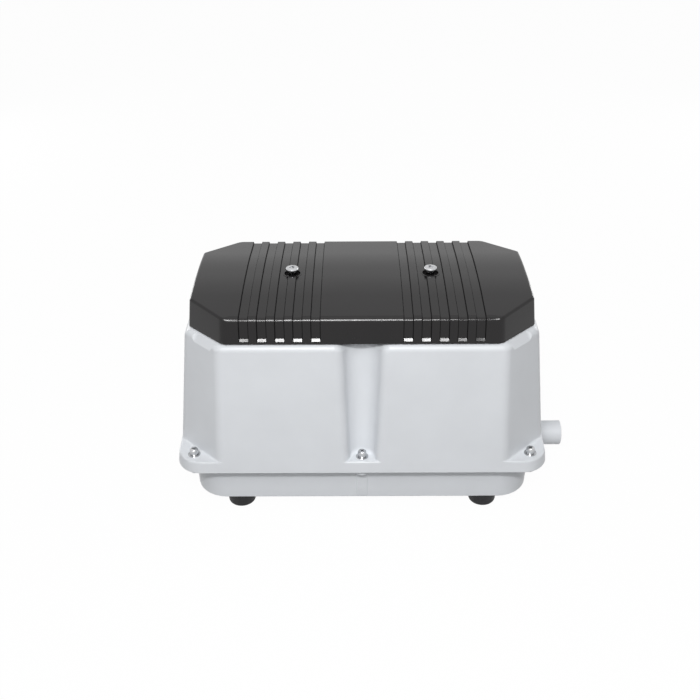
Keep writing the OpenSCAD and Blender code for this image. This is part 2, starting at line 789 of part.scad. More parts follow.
module head_screws() {
    head_h = 2.8;
    seat = head_cover_y + head_cover_t;
    color(zinc) for (side = [-1, 1]) at_unit(side) both_ends() at_head_screws() difference() {
        union() {
            along_y(wall_y - 3) cylinder(r = m4_r, h = seat - wall_y + 4);
            along_y(seat) cylinder(r1 = 3.9, r2 = 3.2, h = head_h);
        }
        along_y(seat + head_h) cross_recess(4.4, 1.6);
    }
}

module stop_switches() {
    color("#3a3a3d") for (side = [-1, 1]) at_unit(side) translate([-10, wall_y - 10, 26]) difference() {
        cube([20, 10, 9]);
        for (x = [5, 15]) translate([x, 11, 4.5]) rotate([90, 0, 0]) cylinder(r = 1.2, h = 12);
    }
}

module terminal_block() {
    size = [32, 18, 18];
    color("#e3dfd2") translate([0, 30, plate_top]) difference() {
        translate([-size.x / 2, -size.y / 2, 0]) cube(size);
        for (x = [-10, 0, 10]) translate([x, 0, 8]) cylinder(r = 2.6, h = size.z);
        for (x = [-10, 0, 10]) translate([x, size.y, 6]) rotate([90, 0, 0]) cylinder(r = 1.8, h = 2 * size.y);
    }
}

// Route of a lead from the terminal block to the near coil of the right unit
lead_route = [[16.05, 32, 77], [18.5, 32, 77], [20.5, 31.8, 79.5], [21, 31.5, 84], [22.5, 30, 88.5],
    [26, 26.5, 91.5], [34, 20, 92.5], [40, 15, 92], [44, 11, 92], [48, 8, 92]];
lead_r = 1.5;
lead_sides = 8;

function lead_ring(p, d) =
    let (u = d / norm(d), side = cross(u, [0, 0, 1]), s = side / norm(side), t = cross(s, u))
    [for (i = [0:lead_sides - 1]) p + lead_r * (cos(360 * i / lead_sides) * s + sin(360 * i / lead_sides) * t)];

module lead_tube(route) {
    n = len(route);
    rings = [for (i = [0:n - 1]) lead_ring(route[i], route[min(i + 1, n - 1)] - route[max(i - 1, 0)])];
    polyhedron(
        [for (ring = rings, q = ring) q],
        concat([[for (i = [0:lead_sides - 1]) i]],
            [for (k = [0:n - 2], i = [0:lead_sides - 1], half = [0, 1])
                let (j = (i + 1) % lead_sides, a = k * lead_sides, b = a + lead_sides)
                half == 0 ? [a + i, b + i, b + j] : [a + i, b + j, a + j]],
            [[for (i = [lead_sides - 1:-1:0]) (n - 1) * lead_sides + i]]));
}

module coil_leads() {
    color("#3b5f8f") for (a = [0, 1]) mirror([a, 0, 0]) lead_tube(lead_route);
}

translate([-origin_x, 0, 0]) {
    base_pan();
    outlet_spigot();
    foot(-1, -1);  // front_left_foot
    foot(1, -1);  // front_right_foot
    foot(-1, 1);  // rear_left_foot
    foot(1, 1);  // rear_right_foot
    foot_screws();
    tank_gasket();
    tank_plate();
    housing_gasket();
    upper_housing();
    flange_screws();
    flange_spring_washers();
    flange_washers();
    cord_grommet();
    air_filter();
    terminal_block();
    coil_leads();
    rubber_mounts();
    head_screws();
    stop_switches();
    filter_cover();
    cover_seal();
    cover_screws();
    cover_screw_retainers();
    drive_frame(-1);  // left_frame
    cores(-1);  // left_cores
    bobbins(-1);  // left_bobbins
    coils(-1);  // left_coils
    pump_heads(-1);  // left_pump_heads
    head_covers(-1);  // left_head_covers
    discharge_sleeves(-1);  // left_discharge_sleeves
    diaphragms(-1);  // left_diaphragms
    shuttle_bar(-1);  // left_shuttle_bar
    magnets(-1);  // left_magnets
    clamp_plates(-1);  // left_clamp_plates
    rod_nuts(-1);  // left_rod_nuts
    suction_flap(-1, 180);  // left_front_suction_flap
    suction_flap(-1, 0);  // left_rear_suction_flap
    discharge_flap(-1, 180);  // left_front_discharge_flap
    discharge_flap(-1, 0);  // left_rear_discharge_flap
    drive_frame(1);  // right_frame
    cores(1);  // right_cores
    bobbins(1);  // right_bobbins
    coils(1);  // right_coils
    pump_heads(1);  // right_pump_heads
    head_covers(1);  // right_head_covers
    discharge_sleeves(1);  // right_discharge_sleeves
    diaphragms(1);  // right_diaphragms
    shuttle_bar(1);  // right_shuttle_bar
    magnets(1);  // right_magnets
    clamp_plates(1);  // right_clamp_plates
    rod_nuts(1);  // right_rod_nuts
    suction_flap(1, 180);  // right_front_suction_flap
    suction_flap(1, 0);  // right_rear_suction_flap
    discharge_flap(1, 180);  // right_front_discharge_flap
    discharge_flap(1, 0);  // right_rear_discharge_flap
}
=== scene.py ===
"""Finished model of a twin-unit diaphragm air pump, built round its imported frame."""

import json
import math

import bmesh
import bpy
from bpy.props import FloatProperty, FloatVectorProperty, PointerProperty
from bpy.types import Operator, Panel, PropertyGroup
from mathutils import Matrix, Vector, noise


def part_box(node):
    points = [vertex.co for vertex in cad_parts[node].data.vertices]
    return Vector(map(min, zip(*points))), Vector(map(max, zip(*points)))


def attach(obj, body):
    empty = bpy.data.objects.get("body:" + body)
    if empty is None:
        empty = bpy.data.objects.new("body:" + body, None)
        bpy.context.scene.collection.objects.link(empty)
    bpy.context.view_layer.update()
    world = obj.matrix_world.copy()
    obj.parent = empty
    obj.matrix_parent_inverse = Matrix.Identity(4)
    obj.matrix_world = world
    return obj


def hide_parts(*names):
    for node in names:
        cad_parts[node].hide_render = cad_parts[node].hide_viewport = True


bl_info = {
    "name": "Diaphragm Air Pump",
    "version": (1, 0, 0),
    "blender": (4, 5, 0),
    "location": "3D View > Sidebar > Air Pump",
    "description": "Builds the finished surfaces of a twin-unit diaphragm air pump",
    "category": "Object",
}

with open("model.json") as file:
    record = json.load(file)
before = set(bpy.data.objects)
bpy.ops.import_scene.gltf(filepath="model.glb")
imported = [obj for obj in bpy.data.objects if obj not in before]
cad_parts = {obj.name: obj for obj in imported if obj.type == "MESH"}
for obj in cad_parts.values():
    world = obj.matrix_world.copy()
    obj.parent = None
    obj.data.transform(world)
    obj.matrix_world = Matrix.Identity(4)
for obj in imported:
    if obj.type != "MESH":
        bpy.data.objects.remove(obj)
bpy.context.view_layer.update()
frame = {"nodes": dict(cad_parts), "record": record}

# Millimetres, about the middle of the pan on the ground
METRE = 1000.0
MIDDLE_X = sum(corner.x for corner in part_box("upper_housing")) / 2

# Levels and sizes that the frame fixes
SKIRT_LOW, EAR_TOP = 59.0, 72.0
SEAT = 68.0
RIM = 201.0
DECK, DECK_LOW = 192.0, 188.0
PAN_LOW, PAN_TOP = 14.5, 64.0
COVER_LOW, COVER_TOP = 201.5, 234.0
WALL = 4.0
CHAMFER_TURN = 2 - math.sqrt(2)
CORNER_TANGENT = math.tan(math.radians(22.5))
FLANGE_SCREWS = [(x * 172.0, y * 92.0) for x in (-1, 1) for y in (-1, 1)] + [(0.0, -96.5), (0.0, 96.5)]
FEET = {
    "front_left_foot": (-128.5, -76.0),
    "front_right_foot": (128.5, -76.0),
    "rear_left_foot": (-128.5, 76.0),
    "rear_right_foot": (128.5, 76.0),
}
COVER_SCREWS = (-70.4, 70.4)
CORD_PLACE = (-118.0, 104.0)
OUTLET = Matrix.Translation((0, 0, 31)) @ Matrix.Rotation(math.radians(90), 4, "Y")

# Rounded rectangles: half length, half width and corner radius
SKIRT_FOOT = (189.6, 107.1, 25.6)
SEAT_POCKET = (186.5, 104.5, 23.0)
FILTER_TRAY = (152.0, 72.0, 16.0)
PAN_FLANGE = (186.0, 104.0, 22.5)


# ---- drawing in millimetres ----


def arc(centre_x, centre_y, radius, start, end, steps):
    """Points along an arc between two angles in degrees, both ends included."""
    angles = [math.radians(start + (end - start) * i / steps) for i in range(steps + 1)]
    return [(centre_x + radius * math.cos(a), centre_y + radius * math.sin(a)) for a in angles]


def quarter_turn(steps):
    """Sine and cosine of equal steps from 0 to 90 degrees."""
    angles = [math.radians(90 * k / steps) for k in range(steps + 1)]
    return [(math.sin(a), math.cos(a)) for a in angles]


def between(a, b, share):
    """A point or number on the way from a to b."""
    if isinstance(a, (int, float)):
        return a + (b - a) * share
    return tuple(p + (q - p) * share for p, q in zip(a, b))


def mirrored(quarter):
    """A closed outline from a quarter that runs from the front middle to the right middle."""
    right_back = [(p[0], -p[1], *p[2:]) for p in reversed(quarter)][1:]
    half = quarter + right_back
    return half + [(-p[0], *p[1:]) for p in reversed(half)][1:-1]


def level(points, height):
    """Flat points, lifted to a height."""
    return [(*p, height) for p in points]


def standing(x, y=0.0):
    """The place of something that stands over a point."""
    return Matrix.Translation((x, y, 0))


def nearest_on_slab(point, slab, grow):
    """The point of a rounded rectangle's outline, grown a little, that is nearest to a point."""
    half_l, half_w, radius = (size + grow for size in slab)
    core_x = max(-half_l + radius, min(half_l - radius, point[0]))
    core_y = max(-half_w + radius, min(half_w - radius, point[1]))
    dx, dy = point[0] - core_x, point[1] - core_y
    reach = math.hypot(dx, dy) or 1.0
    return core_x + dx / reach * radius, core_y + dy / reach * radius


def slab_row(points, slab, height, grow=0.0):
    """The points of a rounded rectangle nearest to a row's points, at a height."""
    return level([nearest_on_slab(p, slab, grow) for p in points], height)


class Shape:
    """A mesh in the making, in millimetres about the middle of the pan."""

    def __init__(self):
        self.points, self.faces = [], []

    def row(self, points):
        """Adds a row of points and returns their numbers."""
        start = len(self.points)
        self.points += [tuple(p) for p in points]
        return list(range(start, len(self.points)))

    def join(self, a, b, closed=True):
        """Fills the strip between two rows of equal length."""
        for i in range(len(a) if closed else len(a) - 1):
            j = (i + 1) % len(a)
            self.faces.append((a[i], a[j], b[j], b[i]))

    def loft(self, rows, closed=True):
        """Joins rows of points in order."""
        made = [self.row(points) for points in rows]
        for a, b in zip(made, made[1:]):
            self.join(a, b, closed)
        return made

    def cap(self, numbers):
        """Closes a row with one flat face."""
        self.faces.append(tuple(numbers))

    def turn(self, profile, steps=48, closed=False, at=None):
        """Adds a turned shape from (radius, height) points about its own Z, then moved by a matrix."""
        at = at or Matrix()
        rows = []
        for radius, height in profile:
            ring = arc(0, 0, radius, 0, 360, steps)[:-1]
            rows.append([tuple(at @ Vector((x, y, height))) for x, y in ring])
        made = self.loft(rows)
        if closed:
            self.join(made[-1], made[0])
        return made

    def cylinder(self, radius, low, high, steps=48, at=None):
        """Adds a closed cylinder about its own Z."""
        self.turn([(0, low), (radius, low), (radius, high), (0, high)], steps, at=at)

    def block(self, low_ring, high_ring):
        """Adds a closed prism between two rings of 3-D points."""
        low, high = self.loft([low_ring, high_ring])
        self.cap(low)
        self.cap(high)


def rounded(profile, radius, steps=4):
    """A profile of (radius, height) points with its inner corners rounded."""
    out = [profile[0]]
    for before, corner, after in zip(profile, profile[1:], profile[2:]):
        a, b, c = Vector(before), Vector(corner), Vector(after)
        to_a, to_c = a - b, c - b
        turn = to_a.angle(to_c, math.pi)
        if turn > math.radians(176):
            out.append(corner)
            continue
        reach = min(radius / math.tan(turn / 2), to_a.length * 0.48, to_c.length * 0.48)
        start, end = b + to_a.normalized() * reach, b + to_c.normalized() * reach
        for i in range(steps + 1):
            t = i / steps
            out.append(tuple(start * (1 - t) ** 2 + b * 2 * t * (1 - t) + end * t**2))
    return out + [profile[-1]]


def mesh_object(name, shape):
    """Makes an object of a shape, in metres in the frame's place."""
    mesh = bpy.data.meshes.new(name)
    build = bmesh.new()
    verts = []
    for x, y, z in shape.points:
        verts.append(build.verts.new(((x + MIDDLE_X * METRE) / METRE, y / METRE, z / METRE)))
    for numbers in shape.faces:
        build.faces.new([verts[i] for i in numbers])
    bmesh.ops.remove_doubles(build, verts=build.verts, dist=3e-6)
    bmesh.ops.dissolve_degenerate(build, dist=1e-6, edges=build.edges)
    bmesh.ops.recalc_face_normals(build, faces=build.faces)
    build.to_mesh(mesh)
    build.free()
    made = bpy.data.objects.new(name, mesh)
    bpy.context.scene.collection.objects.link(made)
    return made


def settle(piece):
    """Applies a piece's modifiers to its mesh."""
    graph = bpy.context.evaluated_depsgraph_get()
    mesh = bpy.data.meshes.new_from_object(piece.evaluated_get(graph))
    piece.modifiers.clear()
    old, piece.data = piece.data, mesh
    bpy.data.meshes.remove(old)


def combine(piece, tool_shape, operation="DIFFERENCE"):
    """Cuts a shape out of a piece, or joins it on."""
    tool = mesh_object("tool", tool_shape)
    modifier = piece.modifiers.new("combine", "BOOLEAN")
    modifier.operation, modifier.solver, modifier.object = operation, "EXACT", tool
    settle(piece)
    mesh = tool.data
    bpy.data.objects.remove(tool)
    bpy.data.meshes.remove(mesh)


def dress(piece, material, body, nodes, crease=32):
    """Shades a piece, gives it its material, and hangs it on its body in place of its CAD nodes."""
    clean = bmesh.new()
    clean.from_mesh(piece.data)
    bmesh.ops.remove_doubles(clean, verts=clean.verts, dist=2e-6)
    bmesh.ops.dissolve_degenerate(clean, dist=1e-6, edges=clean.edges)
    clean.to_mesh(piece.data)
    clean.free()
    mesh = piece.data
    mesh.materials.clear()
    mesh.materials.append(material)
    for face in mesh.polygons:
        face.use_smooth = True
    mesh.set_sharp_from_angle(angle=math.radians(crease))
    normals = piece.modifiers.new("even shading", "WEIGHTED_NORMAL")
    normals.keep_sharp = True
    normals.weight = 100
    settle(piece)
    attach(piece, body)
    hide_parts(*nodes)


# ---- materials ----


def linear(code):
    """An sRGB hex colour as linear red, green, blue and alpha."""
    parts = [int(code[i : i + 2], 16) / 255 for i in (1, 3, 5)]
    return (*(c / 12.92 if c <= 0.04045 else ((c + 0.055) / 1.055) ** 2.4 for c in parts), 1.0)


def tinted(colour, share=1.0):
    """A colour with its light brought to a share, and alpha."""
    return (*(c * share for c in colour[:3]), 1.0)


def add_node(tree, kind, links=None, **settings):
    """Adds a node, sets it up, and sets or links its inputs by name or number."""
    node = tree.nodes.new(kind)
    for key, value in settings.items():
        setattr(node, key, value)
    for key, value in (links or {}).items():
        if isinstance(value, bpy.types.NodeSocket):
            tree.links.new(value, node.inputs[key])
        else:
            node.inputs[key].default_value = value
    return node


def pattern(kind, size, links=None, output="Fac", ends=(0.0, 1.0), **settings):
    """A texture over the surface: its cells' size in millimetres, and the ends of its values in use."""
    return kind, size, links or {}, output, ends, settings


def grain(size, detail=2.0, roughness=0.5):
    """Noise with cells of one size in millimetres, of which the middle values are used."""
    return pattern("ShaderNodeTexNoise", size, {"Detail": detail, "Roughness": roughness}, ends=(0.3, 0.7))


def make_finish(name, inputs, tone, colours, sheen, relief):
    """A finish whose colour, roughness and relief follow patterns. It is made once and then shared.

    The colour runs between the two colours by the pattern tone. sheen is a pattern with the least and
    the most roughness, or None. relief lists bumps from the bottom up, each a pattern and a depth in
    millimetres.
    """
    if name in bpy.data.materials:
        return bpy.data.materials[name]
    material = bpy.data.materials.new(name)
    material.use_nodes = True
    tree = material.node_tree
    shader = tree.nodes["Principled BSDF"]
    for key, value in inputs.items():
        shader.inputs[key].default_value = value
    place = add_node(tree, "ShaderNodeTexCoord").outputs["Object"]

    def drawn(texture):
        """The texture's value, as a socket."""
        kind, size, links, output, _, settings = texture
        node = add_node(tree, kind, {"Vector": place, "Scale": METRE / size, **links}, **settings)
        if output == "Color":
            return add_node(tree, "ShaderNodeSeparateColor", {"Color": node.outputs[output]}).outputs["Red"]
        return node.outputs[output]

    def spread(texture, least, most):
        """The texture's value, brought between two ends, as a socket."""
        start, end = texture[4]
        links = {"Value": drawn(texture), "From Min": start, "From Max": end, "To Min": least, "To Max": most}
        return add_node(tree, "ShaderNodeMapRange", links).outputs["Result"]

    links = {"Factor": spread(tone, 0.0, 1.0), "A": colours[0], "B": colours[1]}
    mix = add_node(tree, "ShaderNodeMix", links, data_type="RGBA")
    tree.links.new(mix.outputs["Result"], shader.inputs["Base Color"])
    if sheen:
        tree.links.new(spread(*sheen), shader.inputs["Roughness"])
    below = {}
    for texture, depth in relief:
        links = {"Height": drawn(texture), "Distance": depth / METRE, "Strength": 1.0, **below}
        below = {"Normal": add_node(tree, "ShaderNodeBump", links).outputs["Normal"]}
    tree.links.new(below["Normal"], shader.inputs["Normal"])
    return material


def gloss_enamel(colour):
    """Sprayed and stoved enamel on an aluminium die casting."""
    # sprayed gloss: soft clear highlights, broken a little by orange peel
    # orange peel is about 1 mm across; the casting under it waves over 14 mm
    return make_finish(
        "sprayed_gloss_enamel",
        {"IOR": 1.5, "Metallic": 0.0, "Specular IOR Level": 0.42},
        grain(38, 3),
        (tinted(colour), tinted(colour, 0.965)),
        (grain(9, 1), 0.35, 0.38),
        [(grain(14, 1), 0.05), (grain(1.3, 2), 0.006)],
    )


def satin_abs(colour):
    """Injection-moulded ABS with a satin face."""
    # moulded satin: dark, with a soft wide gloss; the wall sinks and waves a little over 40 mm
    return make_finish(
        "moulded_satin_abs",
        {"IOR": 1.5, "Metallic": 0.0, "Specular IOR Level": 0.34},
        grain(25, 3),
        (tinted(colour), tinted(colour, 0.86)),
        (grain(6, 1), 0.15, 0.19),
        [(grain(40, 1), 0.08)],
    )


def groove_shade_abs(colour):
    """A darker, nearly shineless copy of the cover's ABS: painted shade for the grooves' side walls."""
    # painted shade: the cover's colour darkened and given next to no shine, so a groove's sides look black
    # beside its satin floor
    # the eroded grain is near 0.05 mm; it is drawn at 0.4 mm
    return make_finish(
        "abs_painted_groove_shade",
        {"IOR": 1.5, "Metallic": 0.0, "Specular IOR Level": 0.12},
        grain(6, 3),
        # the cover's own colour brought down to 0.6 and 0.45: painted shade
        (tinted(colour, 0.6), tinted(colour, 0.45)),
        (grain(3, 2), 0.6, 0.75),
        [(grain(0.4, 1), 0.02)],
    )


def moulded_rubber(colour):
    """Moulded nitrile rubber."""
    # moulded rubber: nearly black and dull, with a little bloom
    return make_finish(
        "moulded_nitrile_rubber",
        {"IOR": 1.52, "Metallic": 0.0, "Specular IOR Level": 0.36},
        grain(7, 4),
        (tinted(colour), tinted(colour, 1.5)),
        (grain(3, 2), 0.5, 0.66),
        [(grain(0.7, 3), 0.02)],
    )


def zinc_plate(colour):
    """Bright zinc plate on turned steel."""
    # bright zinc: a pale grey mirror, blurred, with fine marks under 1 mm
    return make_finish(
        "bright_zinc_plated_steel",
        {"Metallic": 1.0},
        grain(4, 3),
        (tinted(colour), tinted(colour, 0.8)),
        (grain(1.5, 2), 0.16, 0.25),
        [(grain(0.8, 2), 0.004)],
    )


def needled_felt(colour):
    """Needled polyester felt."""
    # needled felt: a pale, dull, hairy mat with shallow dimples about 2 mm apart
    dimples = pattern("ShaderNodeTexVoronoi", 2.4, output="Distance", feature="SMOOTH_F1")
    return make_finish(
        "needled_polyester_felt",
        {"IOR": 1.45, "Roughness": 0.95, "Sheen Weight": 0.25},
        grain(5, 5, 0.6),
        (tinted(colour), tinted(colour, 0.8)),
        None,
        [(dimples, 0.5), (grain(0.9, 4, 0.65), 0.3)],
    )


def galvanised_sheet():
    """Hot-dip galvanised steel sheet."""
    # galvanised: pale grey crystals of zinc, a few millimetres across
    flakes = ("ShaderNodeTexVoronoi", 5, None, "Color")
    return make_finish(
        "galvanised_steel_sheet",
        {"Metallic": 1.0},
        pattern(*flakes),
        (linear("#a6abb0"), linear("#878d93")),
        (pattern(*flakes, ends=(0.3, 0.7)), 0.38, 0.52),
        [(grain(2), 0.01)],
    )


def lines(width, links):
    """Wavering lines across Z: light and dark bands, each about this many millimetres wide."""
    # a wave texture's lines stand pi / 10 apart at scale 1, so a line and its gap take 1.97 widths here
    return pattern("ShaderNodeTexWave", math.tau * width, links, bands_direction="Z")


def varnished_laminations():
    """Stacked electrical steel, dipped in varnish."""
    # laminations: dark steel with fine light and dark lines, one for each 0.5 mm sheet
    sheets = lines(0.5, {"Distortion": 0.4})
    return make_finish(
        "varnished_steel_laminations",
        {"Metallic": 1.0},
        sheets,
        (linear("#4b5058"), linear("#6b7079")),
        (grain(3), 0.35, 0.5),
        [(sheets, 0.04)],
    )


def enamelled_copper():
    """Enamelled copper wire, wound."""
    # winding wire: warm brown copper under clear enamel, in light and dark turns 0.8 mm wide
    turns = lines(0.8, {"Distortion": 0.6, "Detail": 1.0})
    return make_finish(
        "enamelled_copper_wire",
        {"Metallic": 1.0, "Coat Weight": 0.5},
        turns,
        (linear("#7b3d18"), linear("#b9692f")),
        (grain(2), 0.3, 0.42),
        [(turns, 0.2)],
    )


def as_cast_aluminium():
    """Die-cast aluminium, left as cast."""
    # as cast: grey, fine-grained, with slow flow marks
    return make_finish(
        "as_cast_aluminium",
        {"Metallic": 1.0},
        grain(12, 4),
        (linear("#b4b6b8"), linear("#9b9ea1")),
        (grain(4), 0.42, 0.56),
        [(grain(1.0, 3), 0.03)],
    )


def sintered_ferrite():
    """Sintered and ground ferrite."""
    # ferrite: nearly black ceramic with fine grinding grain
    return make_finish(
        "sintered_ferrite",
        {"IOR": 1.9},
        grain(2, 4),
        (linear("#2f2f32"), linear("#3a3a3e")),
        (grain(0.8), 0.42, 0.6),
        [(grain(0.8, 3), 0.015)],
    )


def moulded_nylon(name, first, second):
    """Injection-moulded nylon."""
    # nylon: slightly waxy, with a soft gloss and faint flow in the colour
    return make_finish(
        name,
        {"IOR": 1.53},
        grain(9, 3),
        (linear(first), linear(second)),
        (grain(3), 0.34, 0.48),
        [(grain(1.2, 2), 0.012)],
    )


def sleeved_lead():
    """PVC-sleeved lead wire."""
    # PVC sleeving: plain deep blue with a soft gloss
    return make_finish(
        "pvc_lead_sleeving",
        {"IOR": 1.53},
        grain(6, 3),
        (linear("#3f5f95"), linear("#37568a")),
        (grain(2), 0.34, 0.44),
        [(grain(1.5, 2), 0.01)],
    )


# ---- housing ----

BODY_HALF_L, BODY_HALF_W, BODY_CHAMFER = 189.0, 106.4, 44.0
DRAFT = math.tan(math.radians(6))
FLUTE_SLOPE = math.tan(math.radians(2))
BODY_CORNER = 13.0
EAR_RADIUS = 26.0
# The coves lean with the wall, taken between its foot and this far up
COVE_RISE = 6
FLUTE_STEPS, LIP_STEPS, FRONT_STEPS, CORNER_STEPS, CHAMFER_STEPS, SIDE_STEPS = 14, 7, 8, 5, 24, 8

# The centre flute's radius at its foot and its growth up to the rim, and its axis's distance at its foot
FLUTE_RADIUS, FLUTE_GROWTH, FLUTE_AXIS = 13.0, 6.7, 100.0
# The flute's lip, as a share of its setting: at its foot, and its growth up to the rim
LIP_SHARE, LIP_GROWTH = 0.78, 0.27
LEAST_RADIUS = 0.6
FLUTE_SHOULDER, SIDE_SHOULDER = 9.5, 10.0
# An edge's rounding takes at most this share of its ledge's width
EDGE_SHARE = 0.45
WALL_LEVELS = (78, 88, 100, 112, 124, 136, 148, 160, 170, 179)
# The hollow inside: heights, and how much the wall has thickened there
INSIDE_LEVELS = ((SEAT, 0), (184, 0), (187, 0.9), (DECK_LOW, 3))


def wall_back(height):
    """How far the housing's wall has leaned in at a height."""
    return (height - EAR_TOP) * DRAFT


def housing_quarter(height, inset, lip):
    """The housing's outline from the middle of its front flute to the middle of its right side."""
    back = wall_back(height) + inset
    front, side = BODY_HALF_W - back, BODY_HALF_L - back
    chamfer = BODY_CHAMFER - back * CHAMFER_TURN
    rise = (height - EAR_TOP) / (RIM - EAR_TOP)
    flute = FLUTE_RADIUS + FLUTE_GROWTH * rise + inset
    axis = FLUTE_AXIS - (height - EAR_TOP) * FLUTE_SLOPE
    lip = max(lip * (LIP_SHARE + LIP_GROWTH * rise) - inset, LEAST_RADIUS)
    lip_y = front - lip
    lip_x = math.sqrt((flute + lip) ** 2 - (lip_y - axis) ** 2)
    meets = math.degrees(math.atan2(lip_x, axis - lip_y))
    points = arc(0, -axis, flute, 90, 90 - meets, FLUTE_STEPS)
    points += arc(lip_x, -lip_y, lip, 270 - meets, 270, LIP_STEPS)[1:]
    corner = max(BODY_CORNER - inset, LEAST_RADIUS)
    reach = corner * CORNER_TANGENT
    line_end = side - chamfer - reach
    points += [(between(lip_x, line_end, i / FRONT_STEPS), -front) for i in range(1, FRONT_STEPS)]
    points += arc(line_end, corner - front, corner, -90, -45, CORNER_STEPS)
    turn = arc(side - corner, chamfer + reach - front, corner, -45, 0, CORNER_STEPS)
    points += [between(points[-1], turn[0], i / CHAMFER_STEPS) for i in range(1, CHAMFER_STEPS)]
    points += turn
    points += [(side, between(turn[-1][1], 0, i / SIDE_STEPS)) for i in range(1, SIDE_STEPS + 1)]
    return points


def skirt_quarter(height, body):
    """The flange's outline beside each point of the body's, flush with it along the front and sides."""
    grow = (EAR_TOP - height) * DRAFT
    radius = EAR_RADIUS + grow
    side, front = BODY_HALF_L + grow, BODY_HALF_W + grow
    lip_end = FLUTE_STEPS + LIP_STEPS
    first = lip_end + FRONT_STEPS
    last = first + 2 * CORNER_STEPS + CHAMFER_STEPS
    ledge_x = body[lip_end][0]
    points = [(ledge_x * i / lip_end, -front) for i in range(lip_end)]
    points += [(body[i][0], -front) for i in range(lip_end, first)]
    start_x, end_y = body[first][0], body[last][1]
    flat_x, flat_y = side - radius - start_x, front - radius + end_y
    bend = radius * math.pi / 2
    travel = [0.0]
    for a, b in zip(body[first:last], body[first + 1 : last + 1]):
        travel.append(travel[-1] + math.dist(a, b))
    for done in travel:
        along = done / travel[-1] * (flat_x + bend + flat_y)
        if along < flat_x:
            points.append((start_x + along, -front))
        elif along < flat_x + bend:
            angle = (along - flat_x) / radius
            x = side - radius + radius * math.sin(angle)
            points.append((x, radius - front - radius * math.cos(angle)))
        else:
            points.append((side, radius - front + along - flat_x - bend))
    return points + [(side, body[i][1]) for i in range(last + 1, len(body))]


def ear_rows(sizes):
    """Rows from the skirt's lower edge, over the rounded ear and ledge edges, to the foot of the wall."""
    lip = sizes.flute_lip * METRE
    foot = housing_quarter(EAR_TOP, 0, lip)
    above = housing_quarter(EAR_TOP + COVE_RISE, 0, lip)
    edge = skirt_quarter(EAR_TOP, foot)
    flute_end = FLUTE_STEPS + LIP_STEPS
    rows = [slab_row(skirt_quarter(SKIRT_LOW, foot), SKIRT_FOOT, SKIRT_LOW)]
    rows.append(level(skirt_quarter(SKIRT_LOW + 0.7, foot), SKIRT_LOW + 0.7))
    outward, rounds, coves = [], [], []
    for i, (a, b) in enumerate(zip(foot, edge)):
        width = math.dist(a, b)
        outward.append(((b[0] - a[0]) / width, (b[1] - a[1]) / width) if width > 1e-6 else (0.0, 0.0))
        rounds.append(min(sizes.ear_edge * METRE, EDGE_SHARE * width))
        cove = sizes.flute_foot if i <= flute_end else sizes.ear_foot
        coves.append(min(cove * METRE, EDGE_SHARE * width))
    for sine, cosine in quarter_turn(5):
        row = []
        for b, out, r in zip(edge, outward, rounds):
            pull = r * (1 - cosine)
            row.append((b[0] - out[0] * pull, b[1] - out[1] * pull, EAR_TOP - r * (1 - sine)))
        rows.append(row)
    for sine, cosine in quarter_turn(5):
        row = []
        for a, high, out, r in zip(foot, above, outward, coves):
            rise, push = r * (1 - cosine), r * (1 - sine)
            base = between(a, high, rise / COVE_RISE)
            row.append((base[0] + out[0] * push, base[1] + out[1] * push, EAR_TOP + rise))
        rows.append(row)
    return rows


def shoulder_at(index, radius):
    """Radius of the shoulder at a point of the outline: wider in the flute and at the sides."""
    last = FLUTE_STEPS + LIP_STEPS + FRONT_STEPS + 2 * CORNER_STEPS + CHAMFER_STEPS
    flute = min(max((FLUTE_STEPS + LIP_STEPS - index) / LIP_STEPS, 0), 1)
    side = min(max((index - last) / CORNER_STEPS + 1, 0), 1)
    return between(between(radius, FLUTE_SHOULDER, flute), SIDE_SHOULDER, side)


def shoulder_rows(sizes, lip):
    """Rows over the rounded shoulder and the rim, and down into the filter tray."""
    count = len(housing_quarter(RIM, 0, lip))
    radii = [shoulder_at(i, sizes.shoulder * METRE) for i in range(count)]
    rows = []
    for sine, cosine in quarter_turn(12):
        row = []
        for i, radius in enumerate(radii):
            height = RIM - radius + radius * sine
            row.append((*housing_quarter(height, radius * (1 - cosine), lip)[i], height))
        rows.append(row)
    rim = rows[-1]
    for grow, height in ((0.3, RIM), (0.0, RIM - 0.4), (0.0, DECK + 1.5), (-0.45, DECK + 0.45), (-1.5, DECK)):
        rows.append(slab_row(rim, FILTER_TRAY, height, grow))
    return rows


def housing_shape(sizes):
    """The housing's outer skin, filter tray and hollow inside, as one closed shape."""
    shape = Shape()
    lip = sizes.flute_lip * METRE
    rows = [mirrored(row) for row in ear_rows(sizes)]
    rows += [level(mirrored(housing_quarter(height, 0, lip)), height) for height in WALL_LEVELS]
    rows += [mirrored(row) for row in shoulder_rows(sizes, lip)]
    made = shape.loft(rows)
    shape.cap(made[-1])
    hollow = [level(mirrored(housing_quarter(h, WALL + extra, lip)), h) for h, extra in INSIDE_LEVELS]
    inside = shape.loft(hollow)
    shape.cap(inside[-1])
    seat = shape.loft([slab_row(rows[0], SEAT_POCKET, height) for height in (SKIRT_LOW, SEAT)])
    shape.join(made[0], seat[0])
    shape.join(seat[1], inside[0])
    return shape


def scoop_tool():
    """Flat scoops across the shoulder of each chamfered corner: crisp at one end, coved at the other."""
    shape = Shape()
    slope = Matrix.Rotation(math.radians(57), 4, "Y")
    cove = [(17.5, 14.0), (17.5, 8.0)] + arc(9.5, 8, 8, 0, -90, 8)[1:]
    sections = []
    for deep in (-20, 20):
        crisp = 0.6 * deep - 20.3
        sections.append((deep, [(crisp, 0.0), (crisp, 14.0), *cove]))
    for x in (-1, 1):
        for y in (-1, 1):
            turn = Matrix.Rotation(math.atan2(y, x), 4, "Z")
            place = Matrix.Translation((x * 152.7, y * 72.7, RIM)) @ turn @ slope
            hand = -x * y
            rings = []
            for deep, section in sections:
                rings.append([tuple(place @ Vector((deep, hand * s, n))) for s, n in section])
            shape.block(*rings)
    return shape


